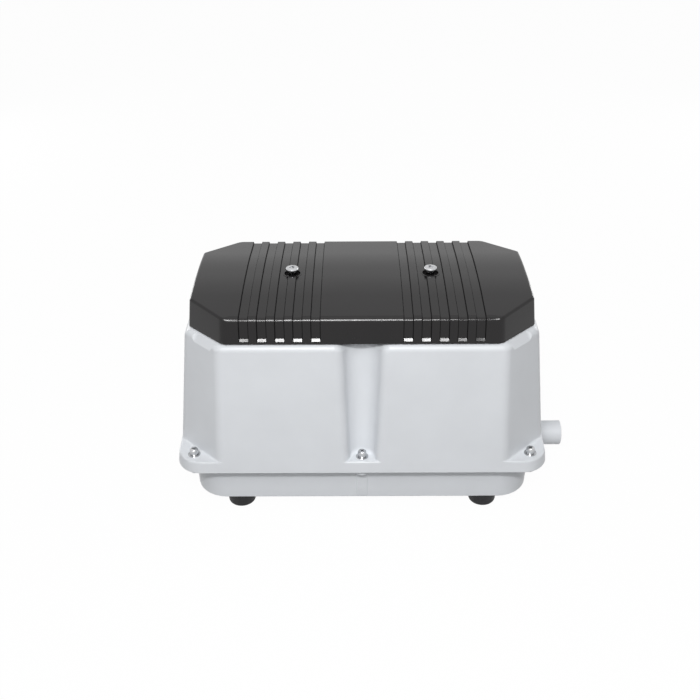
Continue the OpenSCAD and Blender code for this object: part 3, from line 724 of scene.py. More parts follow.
def capsule(centre_x, half_l, radius, low, high):
    """A slot-shaped prism along Y."""
    ring = arc(centre_x, half_l, radius, 0, 180, 8) + arc(centre_x, -half_l, radius, 180, 360, 8)
    return level(ring, low), level(ring, high)


def cord_matrix():
    """The place of the cord hole: on the outside of the back wall, with Z pointing out."""
    x, z = CORD_PLACE
    turn = Matrix.Rotation(math.radians(-90 + 6), 4, "X")
    return Matrix.Translation((x, BODY_HALF_W - wall_back(z), z)) @ turn


def build_housing(sizes, finish):
    """The upper housing, in enamelled die casting."""
    piece = mesh_object("upper_housing_casting", housing_shape(sizes))
    combine(piece, scoop_tool())
    bosses, holes = Shape(), Shape()
    boss = [(0, 189), (9.6, 189), (9.6, 192), (8.6, 192.4), (8, 194), (8, 207.4), (7.4, 208), (0, 208)]
    slots = [side * (94 + 10 * i) for side in (-1, 1) for i in range(5)] + [10 * i for i in range(-2, 3)]
    for x in slots:
        holes.block(*capsule(x, 22, 3, DECK_LOW - 2, DECK + 2))
    for x in COVER_SCREWS:
        bosses.turn(boss, at=standing(x))
        holes.cylinder(2.6, 186, 210, 24, standing(x))
    for x, y in FLANGE_SCREWS:
        holes.cylinder(2.8, 66, 74, 24, standing(x, y))
    holes.cylinder(7.5, -8, 8, 32, cord_matrix())
    combine(piece, bosses, "UNION")
    combine(piece, holes)
    dress(piece, gloss_enamel(finish.enamel), "root", ["upper_housing"], crease=24)


# ---- filter cover ----

COVER_HALF_L, COVER_HALF_W, COVER_CHAMFER = 171.0, 91.0, 37.0
COVER_LEAN = 2.8
COVER_CORNER, FRONT_CORNER = 4.5, 12.0
COVER_SHELL = 3.0
BEND_LOW, BEND_HIGH = 6.0, 48.0
BEND_MIDDLE = 27
COVER_FALL = 6.0 / (COVER_HALF_W - COVER_LEAN - BEND_MIDDLE)
SIDE_LEVELS = (BEND_HIGH, 43.0, 38.0, 33.0, 28.0, 23.0, 18.0, 12.0, BEND_LOW, 0.0)
LEDGE_LOW = 2.8
# A groove is this deep at its ledge's foot
LEDGE_DEPTH = 0.3
# A height over the ledges, where a groove has its full depth
OVER_LEDGES = 20
# The front line's last station: the plain end starts there
PLAIN_END = 125.0
# The front edge's wide rounding fades out over this many points of the outline past the plain end
EDGE_FADE = 6
# How far from the middle the grooves' sides stand, and how far round a cover screw its recess reaches
GROOVE_ZONE = (35, 120)
RECESS_REACH = 9.5


def cover_top(y):
    """Height of the cover's top at a distance from the middle: flat, a soft bend, then a straight fall."""
    y = abs(y)
    if y <= BEND_LOW:
        return COVER_TOP
    if y < BEND_HIGH:
        return COVER_TOP - COVER_FALL * (y - BEND_LOW) ** 2 / (2 * (BEND_HIGH - BEND_LOW))
    return COVER_TOP - COVER_FALL * (y - BEND_MIDDLE)


def cover_stations(sizes):
    """(x, groove depth there) along the front line, from the middle to where the plain end starts."""
    half = sizes.groove_width * METRE / 2
    depth = sizes.groove_depth * METRE
    side = [(half + 0.25, 0.0), (half, 0.25), (half - 0.35, depth - 0.2), (half - 0.6, depth)]
    stations = [(0.0, 0.0), (20.0, 0.0)]
    for i in range(5):
        middle = (sizes.groove_first + i * sizes.groove_pitch) * METRE
        stations += [(middle - dx, cut) for dx, cut in side]
        stations += [(middle + dx, cut) for dx, cut in reversed(side)]
    return stations + [(PLAIN_END, 0.0)]


def cover_quarter(inset, stations):
    """The cover's outline, without grooves, from its front middle to its right middle."""
    front, side = COVER_HALF_W - inset, COVER_HALF_L - inset
    chamfer = COVER_CHAMFER - inset * CHAMFER_TURN
    corner, round_front = COVER_CORNER - inset * 0.3, FRONT_CORNER - inset * 0.3
    reach = corner * CORNER_TANGENT
    points = [(x, -front) for x, _ in stations]
    line_end = side - chamfer - round_front * CORNER_TANGENT
    points += arc(line_end, round_front - front, round_front, -90, -45, 8)
    turn = arc(side - corner, chamfer + reach - front, corner, -45, 0, 6)
    points += [between(points[-1], turn[0], i / 8) for i in range(1, 8)]
    points += turn
    return points + [(side, -y) for y in SIDE_LEVELS]


def close_top(shape, numbers, outline, lower):
    """Fills the top inside an outline with strips from front to back that follow the soft bends."""
    count = len(outline)
    quarter, levels = count // 4, len(SIDE_LEVELS)
    places = [-y for y in SIDE_LEVELS] + list(reversed(SIDE_LEVELS[:-1]))
    last = quarter - levels
    columns = []
    for i in range(-last, last + 1):
        if abs(i) == last:
            side = 1 if i > 0 else -1
            columns.append([numbers[(side * (last + k)) % count] for k in range(2 * levels + 1)])
            continue
        x = outline[i % count][0]
        middle = shape.row([(x, y, cover_top(y) - lower(abs(i))) for y in places])
        columns.append([numbers[i % count], *middle, numbers[(2 * quarter - i) % count]])
    for a, b in zip(columns, columns[1:]):
        shape.join(a, b, closed=False)


def lid_shape(sizes):
    """The cover's outer skin with grooves, and its inner skin, as one closed shape."""
    shape = Shape()
    stations = cover_stations(sizes)
    ledge_high = LEDGE_LOW + sizes.ledge_height * METRE
    low, high = cover_quarter(0, stations), cover_quarter(COVER_LEAN, stations)

    def cut(i, rise):
        """Depth of the groove at a point of the outline, at a height over the cover's foot."""
        full = stations[i][1] if i < len(stations) else 0.0
        if rise < LEDGE_LOW:
            return 0.0
        share = min((rise - LEDGE_LOW) / (ledge_high - LEDGE_LOW), 1.0)
        return min(full, between(LEDGE_DEPTH, full, share))

    def skin(edge):
        """Rows of the outer skin with one rounding of the top edge."""
        rows = [mirrored(level(cover_quarter(0.5, stations), COVER_LOW))]
        ledge = [between(LEDGE_LOW, ledge_high, k / 4) for k in range(5)]
        for rise in (0.5, LEDGE_LOW - 0.05, *ledge, ledge_high + 0.4, 13.0, 18.0):
            row = []
            for i, (a, b) in enumerate(zip(low, high)):
                wall_top = cover_top(b[1]) - edge - COVER_LOW
                x, y = between(a, b, rise / wall_top)
                row.append((x, y + cut(i, rise), COVER_LOW + rise))
            rows.append(mirrored(row))
        for sine, cosine in quarter_turn(8):
            row = []
            for i, (x, y) in enumerate(cover_quarter(COVER_LEAN + edge * (1 - cosine), stations)):
                deep = cut(i, OVER_LEDGES)
                height = cover_top(y) - edge * (1 - sine)
                row.append((x, y + deep * cosine, height - deep * sine))
            rows.append(mirrored(row))
        return rows

    # the front edge is rounder than the edge all round the rest
    wide, tight = skin(sizes.top_edge * METRE), skin(sizes.side_edge * METRE)
    count = len(wide[0])
    past = [min(i, count - i) - len(stations) + 1 for i in range(count)]
    shares = [min(max(1 - steps / EDGE_FADE, 0), 1) for steps in past]
    rows = [[between(p, q, share) for p, q, share in zip(a, b, shares)] for a, b in zip(tight, wide)]
    made = shape.loft(rows)
    close_top(shape, made[-1], rows[-1], lambda i: cut(i, OVER_LEDGES))
    shell = []
    for inset, drop in ((0.0, None), (COVER_LEAN, COVER_SHELL + 1.5), (COVER_LEAN + 1.5, COVER_SHELL)):
        quarter = cover_quarter(COVER_SHELL + inset, stations)
        shell.append(mirrored([(*p, cover_top(p[1]) - drop if drop else COVER_LOW) for p in quarter]))
    inside = shape.loft(shell)
    shape.join(made[0], inside[0])
    close_top(shape, inside[-1], shell[-1], lambda i: COVER_SHELL)
    return shape


def build_cover(sizes, finish):
    """The filter cover, moulded with grooves across it and a recess for each screw."""
    piece = mesh_object("filter_cover_moulding", lid_shape(sizes))
    cups, holes = Shape(), Shape()
    cup = [(0, 209.5), (7, 209.5), (7, 225.5), (9.7, 227.5), (9.7, 232.4), (0, 232.4)]
    recess = [(0, 207), (2.8, 207), (2.8, 229.5), (7.7, 229.5), (8.05, 229.65), (8.2, 230), (8.2, 233.5)]
    recess += [(8.7, 234.05), (8.7, 240), (0, 240)]
    for x in COVER_SCREWS:
        cups.turn(cup, at=standing(x))
        holes.turn(recess, 64, at=standing(x))
    combine(piece, cups, "UNION")
    combine(piece, holes)
    dress(piece, satin_abs(finish.plastic), "cover", ["filter_cover"], crease=28)
    # the grooves' side walls get the darker copy: painted shade that draws each groove's sides as dark lines
    piece.data.materials.append(groove_shade_abs(finish.plastic))
    for face in piece.data.polygons:
        x, y, z = abs(face.center.x - MIDDLE_X) * METRE, face.center.y * METRE, face.center.z * METRE
        clear = math.hypot(x - COVER_SCREWS[1], y) > RECESS_REACH
        grooved = GROOVE_ZONE[0] < x < GROOVE_ZONE[1] and z > COVER_LOW + LEDGE_LOW
        if abs(face.normal.x) > 0.5 and grooved and clear:
            face.material_index = 1


def build_cover_seal(finish):
    """The rubber seal in the cover's lower edge."""
    shape = Shape()
    stations = [(0.0, 0.0), (60.0, 0.0), (PLAIN_END, 0.0)]
    section = [(3.7, 201.6), (4.0, 201.3), (5.0, 201.3), (5.4, 201.7), (5.8, 201.3), (6.8, 201.3)]
    section += [(7.2, 201.7), (7.2, 204.5), (6.9, 204.8), (4.0, 204.8), (3.7, 204.5)]
    rows = [mirrored(level(cover_quarter(inset, stations), z)) for inset, z in section]
    made = shape.loft(rows)
    shape.join(made[-1], made[0])
    piece = mesh_object("cover_seal_ring", shape)
    dress(piece, moulded_rubber(finish.rubber), "cover", ["cover_seal"])


# ---- tank pan, spigot and feet ----

PAN_HALF_L, PAN_HALF_W, PAN_CORNER = 177.0, 92.5, 34.0
PAN_LEAN = math.tan(math.radians(1.5))
SPIGOT_END = 223.0
# The upright in the middle of the front: distance from the middle, and share of how far it stands out
UPRIGHT = ((0.0, 1.0), (5.2, 1.0), (5.7, 0.75), (6.2, 0.2), (6.7, 0.0))


def slab_quarter(half_l, half_w, radius, stations):
    """A rounded rectangle's outline from its front middle to its right middle."""
    points = [(x, -half_w) for x in stations] + [(half_l - radius - 40, -half_w)]
    points += arc(half_l - radius, radius - half_w, radius, -90, 0, 18)
    return points + [(half_l, between(points[-1][1], 0, i / 4)) for i in range(1, 5)]


def pan_quarter(height, inset, proud=0.0):
    """The pan's outline at a height, with the shallow upright in the middle of its front."""
    back = (PAN_TOP - height) * PAN_LEAN + inset
    radius = max(PAN_CORNER - inset, 4)
    quarter = slab_quarter(PAN_HALF_L - back, PAN_HALF_W - back, radius, [x for x, _ in UPRIGHT])
    raised = [(x, y - proud * share) for (x, y), (_, share) in zip(quarter, UPRIGHT)]
    return raised + quarter[len(raised) :]


def pan_shape(sizes):
    """The pan's outer skin, flange and inside as one closed shape."""
    shape = Shape()
    edge = sizes.pan_edge * METRE
    proud = sizes.upright * METRE
    rows = []
    for sine, cosine in quarter_turn(7):
        height = PAN_LOW + edge * (1 - cosine)
        rows.append(level(mirrored(pan_quarter(height, edge * (1 - sine))), height))
    grow = 0.0
    for height in (PAN_LOW + edge + 1.5, 26, 34, 42, 50, 56, 58.4):
        grow = min(proud, grow + proud / 2)
        rows.append(level(mirrored(pan_quarter(height, 0, grow)), height))
    for inset, height in ((-0.25, 59.3), (-0.9, 59.85), (-1.8, 60)):
        rows.append(level(mirrored(pan_quarter(height, inset, proud)), height))
    wall = rows[-1]
    for inset, height in ((0.5, 60), (0, 60.5), (0, 63.5), (0.5, PAN_TOP)):
        rows.append(slab_row(wall, PAN_FLANGE, height, -inset))
    for height, inset in ((PAN_TOP, WALL), (40, WALL), (20.5, WALL), (18.6, WALL + 0.9), (18, WALL + 2.5)):
        rows.append(level(mirrored(pan_quarter(height, inset)), height))
    made = shape.loft(rows)
    shape.cap(made[0])
    shape.cap(made[-1])
    return shape


def build_pan(sizes, finish):
    """The tank pan, with its screw bosses, foot bosses and the socket for the spigot."""
    piece = mesh_object("tank_pan_casting", pan_shape(sizes))
    extras, holes = Shape(), Shape()
    screw_boss = [(0, 52), (5.6, 52), (6.2, 52.3), (6.5, 52.9), (6.5, 62.5), (0, 62.5)]
    foot_boss = [(0, 16), (7, 16), (7, 27.5), (6.5, 28), (0, 28)]
    socket = [(0, 160.5), (16, 160.5), (19.5, 174.5), (17.5, 176.5), (16.4, 176.9), (16, 177.3)]
    socket += [(15.5, 177.5), (0, 177.5)]
    for x, y in FLANGE_SCREWS:
        extras.turn(screw_boss, at=standing(x, y))
        holes.cylinder(2.6, 56, 70, 24, standing(x, y))
    for x, y in FEET.values():
        extras.turn(foot_boss, at=standing(x, y))
        holes.cylinder(2.6, 10, 26, 24, standing(x, y))
    extras.turn(socket, 64, at=OUTLET)
    holes.cylinder(13, 152, 180, at=OUTLET)
    combine(piece, extras, "UNION")
    combine(piece, holes)
    dress(piece, gloss_enamel(finish.enamel), "root", ["base_pan"])


def build_spigot(sizes, finish):
    """The outlet spigot, a turned and enamelled tube with a collar."""
    shape = Shape()
    outside = [(10.5, 160.6), (13, 160.6), (13, 177.5), (15, 177.5), (15, 180.5), (13.6, 180.5)]
    outside += [(13.4, 216), (13.5, SPIGOT_END), (10.5, SPIGOT_END)]
    shape.turn(rounded(outside, sizes.spigot_edge * METRE), 72, closed=True, at=OUTLET)
    piece = mesh_object("outlet_spigot_tube", shape)
    dress(piece, gloss_enamel(finish.enamel), "root", ["outlet_spigot"])


def build_feet(sizes, finish):
    """The four tapered rubber feet, each its own piece."""
    outline = [(2.7, 14.5), (2.7, 8), (5.5, 8), (5.5, 0.6), (6.2, 0)]
    outline += [(14.2, 0), (14.8, 13.5), (14.8, 14.5), (2.7, 14.5)]
    profile = rounded(outline, sizes.foot_edge * METRE, 6)[:-1]
    for name, (x, y) in FEET.items():
        shape = Shape()
        shape.turn(profile, 64, closed=True, at=standing(x, y))
        piece = mesh_object(name + "_moulding", shape)
        dress(piece, moulded_rubber(finish.rubber), "root", [name])


# ---- fasteners ----

# Radius and pitch of the screws' thread
M5 = (2.5, 0.8)


def cross_tool(shape, at, size, deep):
    """Adds a tapered cross recess, cut down from the top of a screw head."""
    rings = []
    for half_l, half_w, height in ((0.24 * size, 0.08 * size, -deep), (0.5 * size, 0.11 * size, 1.0)):
        ring = []
        for turn in range(4):
            place = at @ Matrix.Rotation(math.radians(90 * turn), 4, "Z")
            corner = [(half_l, -half_w), (half_l, half_w), (half_w, half_w)]
            ring += [tuple(place @ Vector((x, y, height))) for x, y in corner]
        rings.append(ring)
    shape.block(*rings)


def threaded(low, high, radius, pitch):
    """Profile of a threaded shank from its tip up, drawn as rings."""
    points = [(0, low), (radius - 1.0, low), (radius - 0.4, low + 0.6)]
    height = low + 0.8
    while height + pitch < high:
        points += [(radius - 0.45, height), (radius, height + pitch * 0.5)]
        points.append((radius - 0.45, height + pitch * 0.95))
        height += pitch
    return points + [(radius - 0.1, high)]


def build_flange_screws(finish):
    """The six screws through the flange, with pan heads and cross recesses."""
    head_z = EAR_TOP + 2.2
    shape, recess = Shape(), Shape()
    head = [(4.2, 0), (4.4, 0.2), (4.4, 3.2), (4.15, 4.2), (3.5, 4.9), (2.2, 5.3), (0, 5.4)]
    profile = threaded(57.2, head_z, *M5) + [(2.5, head_z)] + [(r, head_z + h) for r, h in head]
    for number, (x, y) in enumerate(FLANGE_SCREWS):
        at = standing(x, y) @ Matrix.Rotation(math.radians(17 + 53 * number), 4, "Z")
        shape.turn(profile, 40, at=at)
        cross_tool(recess, at @ Matrix.Translation((0, 0, head_z + 5.3)), 5.2, 2.4)
    piece = mesh_object("flange_screw_set", shape)
    combine(piece, recess)
    dress(piece, zinc_plate(finish.zinc), "root", ["flange_screws"], crease=30)


def build_flange_washers(finish):
    """Plain washers with a stamped edge, and split spring washers, under the flange screws."""
    plain, split = Shape(), Shape()
    section = [(2.8, 72.1), (2.9, 72), (6.05, 72), (6.3, 72.2)]
    section += [(6.3, 72.75), (6.1, 73), (3.0, 73), (2.8, 72.85)]
    corners = [(2.85, 0.02), (4.3, 0.02), (4.4, 0.12), (4.4, 0.85), (4.3, 0.95), (2.85, 0.95)]
    for number, (x, y) in enumerate(FLANGE_SCREWS):
        plain.turn(section, 56, closed=True, at=standing(x, y))
        rings = []
        for step in range(41):
            angle = math.radians(40 + 31 * number + 6 + 348 * step / 40)
            lift = 73 + 0.22 * step / 40
            rings.append([(x + r * math.cos(angle), y + r * math.sin(angle), lift + h) for r, h in corners])
        made = split.loft(rings)
        split.cap(made[0])
        split.cap(made[-1])
    piece = mesh_object("flange_washer_set", plain)
    dress(piece, zinc_plate(finish.zinc), "root", ["flange_washers"])
    piece = mesh_object("flange_spring_washer_set", split)
    dress(piece, zinc_plate(finish.zinc), "root", ["flange_spring_washers"])


def build_cover_screws(finish):
    """The two domed screws that hold the cover."""
    seat, top = 229.5, 239.9
    shape, recess = Shape(), Shape()
    head = [(4.3, seat), (4.3, top - 4.3), (5.6, top - 3.7), (6.3, top - 3.1), (6.5, top - 2.5)]
    head += [(6.5, top - 2.0), (6.2, top - 1.4), (5.2, top - 0.8), (3.4, top - 0.3), (0, top)]
    profile = threaded(190, 206, *M5) + [(2.5, 206.5), (2.5, seat)] + head
    for number, x in enumerate(COVER_SCREWS):
        at = standing(x) @ Matrix.Rotation(math.radians(38 + 12 * number), 4, "Z")
        shape.turn(profile, 56, at=at)
        cross_tool(recess, at @ Matrix.Translation((0, 0, top - 0.2)), 7.4, 2.6)
    piece = mesh_object("cover_screw_set", shape)
    combine(piece, recess)
    dress(piece, zinc_plate(finish.zinc), "cover", ["cover_screws"], crease=30)


# ---- filter and cord grommet ----


def build_filter(finish):
    """The felt air filter: a soft-edged slab with holes for the screw bosses."""
    shape = Shape()
    low, high, edge = DECK, DECK + 17, 2.2
    half_l, half_w, radius = 150.5, 70.5, 15.0
    stations = [14.0 * i for i in range(8)]

    def outline(inset, height):
        """The slab's outline at a height, drawn in by the rounding of its edge."""
        quarter = slab_quarter(half_l - inset, half_w - inset, radius - inset, stations)
        return level(mirrored(quarter), height)

    rows = [outline(edge * (1 - sine), low + edge * (1 - cosine)) for sine, cosine in quarter_turn(5)]
    rows += [outline(0, between(low + edge, high - edge, k / 5)) for k in range(1, 5)]
    rows += [outline(edge * (1 - cosine), high - edge * (1 - sine)) for sine, cosine in quarter_turn(5)]
    made = shape.loft(rows)
    shape.cap(made[0])
    shape.cap(made[-1])
    piece = mesh_object("air_filter_felt", shape)
    holes = Shape()
    for x in COVER_SCREWS:
        holes.cylinder(9.5, low - 3, high + 3, at=standing(x))
    combine(piece, holes)
    remesh = piece.modifiers.new("even", "REMESH")
    remesh.mode, remesh.voxel_size = "VOXEL", 2.0 / METRE
    settle(piece)
    # the top swells and sinks over 23 mm and 6 mm
    for vertex in piece.data.vertices:
        here = vertex.co * METRE
        if here.z > low + 3:
            wave = noise.noise(here / 23) * 0.5 + noise.noise(here / 6) * 0.28
            vertex.co += Vector((0, 0, min(wave, 0.45))) / METRE
    dress(piece, needled_felt(finish.felt), "root", ["air_filter"], crease=180)


def build_grommet(finish):
    """The ribbed rubber grommet in the cord hole."""
    shape = Shape()
    ribs = []
    for i in range(3):
        foot, wide, narrow = 3.2 + i * 1.2, 7.6 - i * 0.75, 6.7 - i * 0.75
        ribs += [(wide, foot), (wide, foot + 0.55), (narrow, foot + 0.6), (narrow, foot + 1.15)]
    profile = [(4.2, 2.2), (4.2, -6.5), (9.5, -6.5), (10.5, -5.5), (10.5, -4.2), (7.4, -4.2)]
    profile += [(7.4, 0.1), (10.5, 0.1), (10.5, 2), (9.4, 3)] + ribs + [(5.0, 7), (3.5, 7), (3.5, 2.2)]
    shape.turn(rounded(profile + [profile[0]], 0.35, 2)[:-1], 56, closed=True, at=cord_matrix())
    piece = mesh_object("cord_grommet_moulding", shape)
    dress(piece, moulded_rubber(finish.rubber), "root", ["cord_grommet"])


# ---- parts inside the housing ----


def finish_inner_parts(finish):
    """Gives every frame part that is still shown the finish of its slot."""
    finishes = {
        "plate_steel": galvanised_sheet(),
        "core_steel": varnished_laminations(),
        "copper_wire": enamelled_copper(),
        "cast_aluminium": as_cast_aluminium(),
        "magnet": sintered_ferrite(),
        "natural_plastic": moulded_nylon("natural_nylon", "#e3dcc8", "#d9d0b8"),
        "black_plastic": moulded_nylon("black_nylon", "#38383b", "#303033"),
        "lead_insulation": sleeved_lead(),
        "paint": gloss_enamel(finish.enamel),
        "cover_plastic": satin_abs(finish.plastic),
        "rubber": moulded_rubber(finish.rubber),
        "zinc_steel": zinc_plate(finish.zinc),
        "felt": needled_felt(finish.felt),
    }
    for part in frame["record"]["subparts"]:
        node = frame["nodes"][part["node"]]
        if node.hide_render:
            continue
        node.data.materials.clear()
        node.data.materials.append(finishes[part["material_slot"]])


# ---- stage ----


WHITE = (1, 1, 1, 1)
FLOOR_CARD = "#acacac"
# Just under the feet, so that the two do not share a plane
FLOOR_DROP = 0.0002
# The camera's place in metres, and its yaw, pitch and roll in degrees
CAMERA_PLACE = (-0.02337, -0.86997, 0.66548)
CAMERA_TURN = (-0.3486, 31.1065, -0.4174)


def place_camera():
    """The camera, in front of the pump, above it and looking down."""
    data = bpy.data.cameras.new("camera")
    data.lens, data.sensor_width = 48.82, 36.0
    data.clip_start, data.clip_end = 0.05, 50.0
    yaw, pitch, roll = (math.radians(angle) for angle in CAMERA_TURN)
    forward = Vector((math.sin(yaw) * math.cos(pitch), math.cos(yaw) * math.cos(pitch), -math.sin(pitch)))
    right = Vector((math.cos(yaw), -math.sin(yaw), 0))
    up = right.cross(forward)
    turned = right * math.cos(roll) + up * math.sin(roll)
    raised = up * math.cos(roll) - right * math.sin(roll)
    matrix = Matrix((turned, raised, -forward)).transposed().to_4x4()
    matrix.translation = Vector(CAMERA_PLACE)
    camera = bpy.data.objects.new("camera", data)
    camera.matrix_world = matrix
    bpy.context.scene.collection.objects.link(camera)
    bpy.context.scene.camera = camera


def soft_light(name, place, width, height, watts, colour=WHITE[:3]):
    """A rectangular softbox that faces the middle of the pump."""
    data = bpy.data.lights.new(name, "AREA")
    data.shape, data.size, data.size_y = "RECTANGLE", width, height
    data.energy, data.color = watts, colour
    light = bpy.data.objects.new(name, data)
    direction = Vector((0, 0, 0.12)) - Vector(place)
    light.location = place
    light.rotation_mode = "QUATERNION"
    light.rotation_quaternion = direction.to_track_quat("-Z", "Y")
    light.visible_camera = False
    bpy.context.scene.collection.objects.link(light)


def seen_plainly(tree):
    """1 for camera, glossy and transmission rays, else 0."""
    path = add_node(tree, "ShaderNodeLightPath")
    plain = path.outputs["Is Camera Ray"]
    for name in ("Is Glossy Ray", "Is Transmission Ray"):
        links = {0: plain, 1: path.outputs[name]}
        plain = add_node(tree, "ShaderNodeMath", links, operation="MAXIMUM").outputs[0]
    return plain


def build_stage(stage):
    """A pale floor, a white surround and soft studio lamps."""
    scene = bpy.context.scene
    scene.view_settings.view_transform = "Standard"
    world = bpy.data.worlds.new("studio")
    scene.world = world
    world.use_nodes = True
    tree = world.node_tree
    background = tree.nodes["Background"]
    background.inputs["Color"].default_value = WHITE
    links = {"Factor": seen_plainly(tree), "A": stage.fill, "B": 1.0}
    strength = add_node(tree, "ShaderNodeMix", links, data_type="FLOAT")
    tree.links.new(strength.outputs["Result"], background.inputs["Strength"])

    half = stage.floor_size / 2
    mesh = bpy.data.meshes.new("floor")
    corners = [(-half, -half, 0), (half, -half, 0), (half, half, 0), (-half, half, 0)]
    mesh.from_pydata(corners, [], [(0, 1, 2, 3)])
    floor = bpy.data.objects.new("floor", mesh)
    floor.location.z = -FLOOR_DROP
    scene.collection.objects.link(floor)
    material = bpy.data.materials.new("white_card")
    material.use_nodes = True
    tree = material.node_tree
    tree.nodes.clear()
    plain = seen_plainly(tree)
    links = {"Factor": plain, "A": linear(FLOOR_CARD), "B": WHITE}
    tone = add_node(tree, "ShaderNodeMix", links, data_type="RGBA")
    card = add_node(tree, "ShaderNodeBsdfDiffuse", {"Color": tone.outputs["Result"]}).outputs["BSDF"]
    glow = add_node(tree, "ShaderNodeEmission", {"Color": WHITE, "Strength": 1.0}).outputs["Emission"]
    links = {0: plain, 1: stage.floor_glow}
    share = add_node(tree, "ShaderNodeMath", links, operation="MULTIPLY").outputs[0]
    mix = add_node(tree, "ShaderNodeMixShader", {0: share, 1: card, 2: glow}).outputs[0]
    add_node(tree, "ShaderNodeOutputMaterial", {"Surface": mix})
    mesh.materials.append(material)

    soft_light("front softbox", (-0.03, -1.15, 1.21), 0.5, 0.1, stage.front_watts)
    soft_light("tall softbox", (-0.17, -1.15, 1.25), 0.55, 0.85, stage.tall_watts)
    soft_light("top softbox", (0, 0, 1.8), 1.0, 1.0, stage.top_watts)
    soft_light("right fill", (1.7, -0.5, 0.7), 0.9, 0.9, stage.side_watts, (0.86, 0.93, 1))
    # low behind both ends, so the ends and the back are lit and the front is not
    for side in (-1, 1):
        soft_light(f"back softbox {side}", (side * 1.15, 1.05, 0.3), 0.6, 0.35, stage.back_watts)


# ---- settings, operators and panel ----


def colour_property(name, description, code):
    """A colour setting whose default is an sRGB hex value."""
    texts = {"name": name, "description": description}
    return FloatVectorProperty(**texts, subtype="COLOR", size=3, min=0, max=1, default=linear(code)[:3])


def length_property(name, description, millimetres):
    """A length setting whose default is in millimetres."""
    texts = {"name": name, "description": description}
    return FloatProperty(**texts, unit="LENGTH", subtype="DISTANCE", min=0, default=millimetres / METRE)


def power_property(name, description, watts):
    """A lamp's power setting."""
    return FloatProperty(name=name, description=description, unit="POWER", default=watts, min=0)


def share_property(name, description, share):
    """A setting between 0 and 1."""
    return FloatProperty(name=name, description=description, subtype="FACTOR", default=share, min=0, max=1)


class PUMP_PG_finish(PropertyGroup):
    """Colours of the pump's finishes."""

    enamel: colour_property("Enamel", "Colour of the sprayed castings", "#e4e7eb")
    plastic: colour_property("Cover plastic", "Colour of the moulded filter cover", "#1b191a")
    rubber: colour_property("Rubber", "Colour of the feet, seal and grommet", "#151517")
    zinc: colour_property("Zinc plate", "Colour of the screws and washers", "#cbccce")
    felt: colour_property("Filter felt", "Colour of the air filter", "#dcd8cb")


class PUMP_PG_housing(PropertyGroup):
    """Sizes on the upper housing."""

    shoulder: length_property("Shoulder radius", "Rounding between the walls and the rim", 7.0)
    flute_lip: length_property("Flute lip", "Rounding where the centre flute meets the front", 10.5)
    flute_foot: length_property("Flute foot", "Cove where the flute meets its ledge", 4)
    ear_foot: length_property("Ear foot", "Cove where a chamfer meets its ear", 2)
    ear_edge: length_property("Ear edge", "Rounding of the ears' outer edge", 1.8)


class PUMP_PG_cover(PropertyGroup):
    """Sizes on the filter cover."""

    groove_width: length_property("Groove width", "Width of each groove", 9.2)
    groove_depth: length_property("Groove depth", "Depth of each groove", 1.8)
    groove_first: length_property("First groove", "Distance from the middle to the first groove", 44.2)
    groove_pitch: length_property("Groove pitch", "Distance between neighbouring grooves", 17.2)
    ledge_height: length_property("Ledge height", "Height of the slope at a groove's foot", 2.4)
    top_edge: length_property("Top edge", "Rounding of the cover's top edge along the front", 5.5)
    side_edge: length_property("Side edge", "Rounding of the cover's top edge elsewhere", 2.6)


class PUMP_PG_tank(PropertyGroup):
    """Sizes on the tank pan, the spigot and the feet."""

    pan_edge: length_property("Pan edge", "Rounding of the pan's lower edge", 1.6)
    upright: length_property("Upright", "How far the upright in the middle of the front stands out", 0.9)
    spigot_edge: length_property("Spigot edge", "Rounding of the spigot's edges", 0.9)
    foot_edge: length_property("Foot edge", "Rounding of the feet's edges", 3.8)


class PUMP_PG_stage(PropertyGroup):
    """Floor and lamps."""

    floor_size: FloatProperty(
        name="Floor size", description="Side of the square floor", unit="LENGTH", default=14, min=2
    )
    floor_glow: share_property("Floor glow", "Share of plain white in how the floor is seen", 0.975)
    fill: share_property("Fill", "Light from the white surround", 0.145)
    front_watts: power_property("Front softbox", "Power of the front softbox", 10.4)
    tall_watts: power_property("Tall softbox", "Power of the tall softbox in front", 8.5)
    top_watts: power_property("Top softbox", "Power of the softbox overhead", 1.5)
    side_watts: power_property("Right fill", "Power of the fill on the right", 0.05)
    back_watts: power_property("Back softboxes", "Power of each low softbox behind an end", 4.5)


class PUMP_OT_housing(Operator):
    """Build the enamelled upper housing"""

    bl_idname = "pump.housing"
    bl_label = "Upper Housing"

    def execute(self, context):
        build_housing(context.scene.pump_housing, context.scene.pump_finish)
        return {"FINISHED"}


class PUMP_OT_cover(Operator):
    """Build the filter cover and its seal"""

    bl_idname = "pump.cover"
    bl_label = "Filter Cover and Seal"

    def execute(self, context):
        build_cover(context.scene.pump_cover, context.scene.pump_finish)
        build_cover_seal(context.scene.pump_finish)
        return {"FINISHED"}


class PUMP_OT_tank(Operator):
    """Build the tank pan and the outlet spigot"""

    bl_idname = "pump.tank"
    bl_label = "Tank Pan and Spigot"

    def execute(self, context):
        build_pan(context.scene.pump_tank, context.scene.pump_finish)
        build_spigot(context.scene.pump_tank, context.scene.pump_finish)
        return {"FINISHED"}


class PUMP_OT_feet(Operator):
    """Build the four rubber feet"""

    bl_idname = "pump.feet"
    bl_label = "Feet"

    def execute(self, context):
        build_feet(context.scene.pump_tank, context.scene.pump_finish)
        return {"FINISHED"}


class PUMP_OT_fasteners(Operator):
    """Build the flange screws and washers and the cover screws"""

    bl_idname = "pump.fasteners"
    bl_label = "Screws and Washers"

    def execute(self, context):
        finish = context.scene.pump_finish
        for build in (build_flange_screws, build_flange_washers, build_cover_screws):
            build(finish)
        return {"FINISHED"}


class PUMP_OT_filter(Operator):
    """Build the felt air filter"""

    bl_idname = "pump.filter"
    bl_label = "Air Filter"

    def execute(self, context):
        build_filter(context.scene.pump_finish)
        return {"FINISHED"}


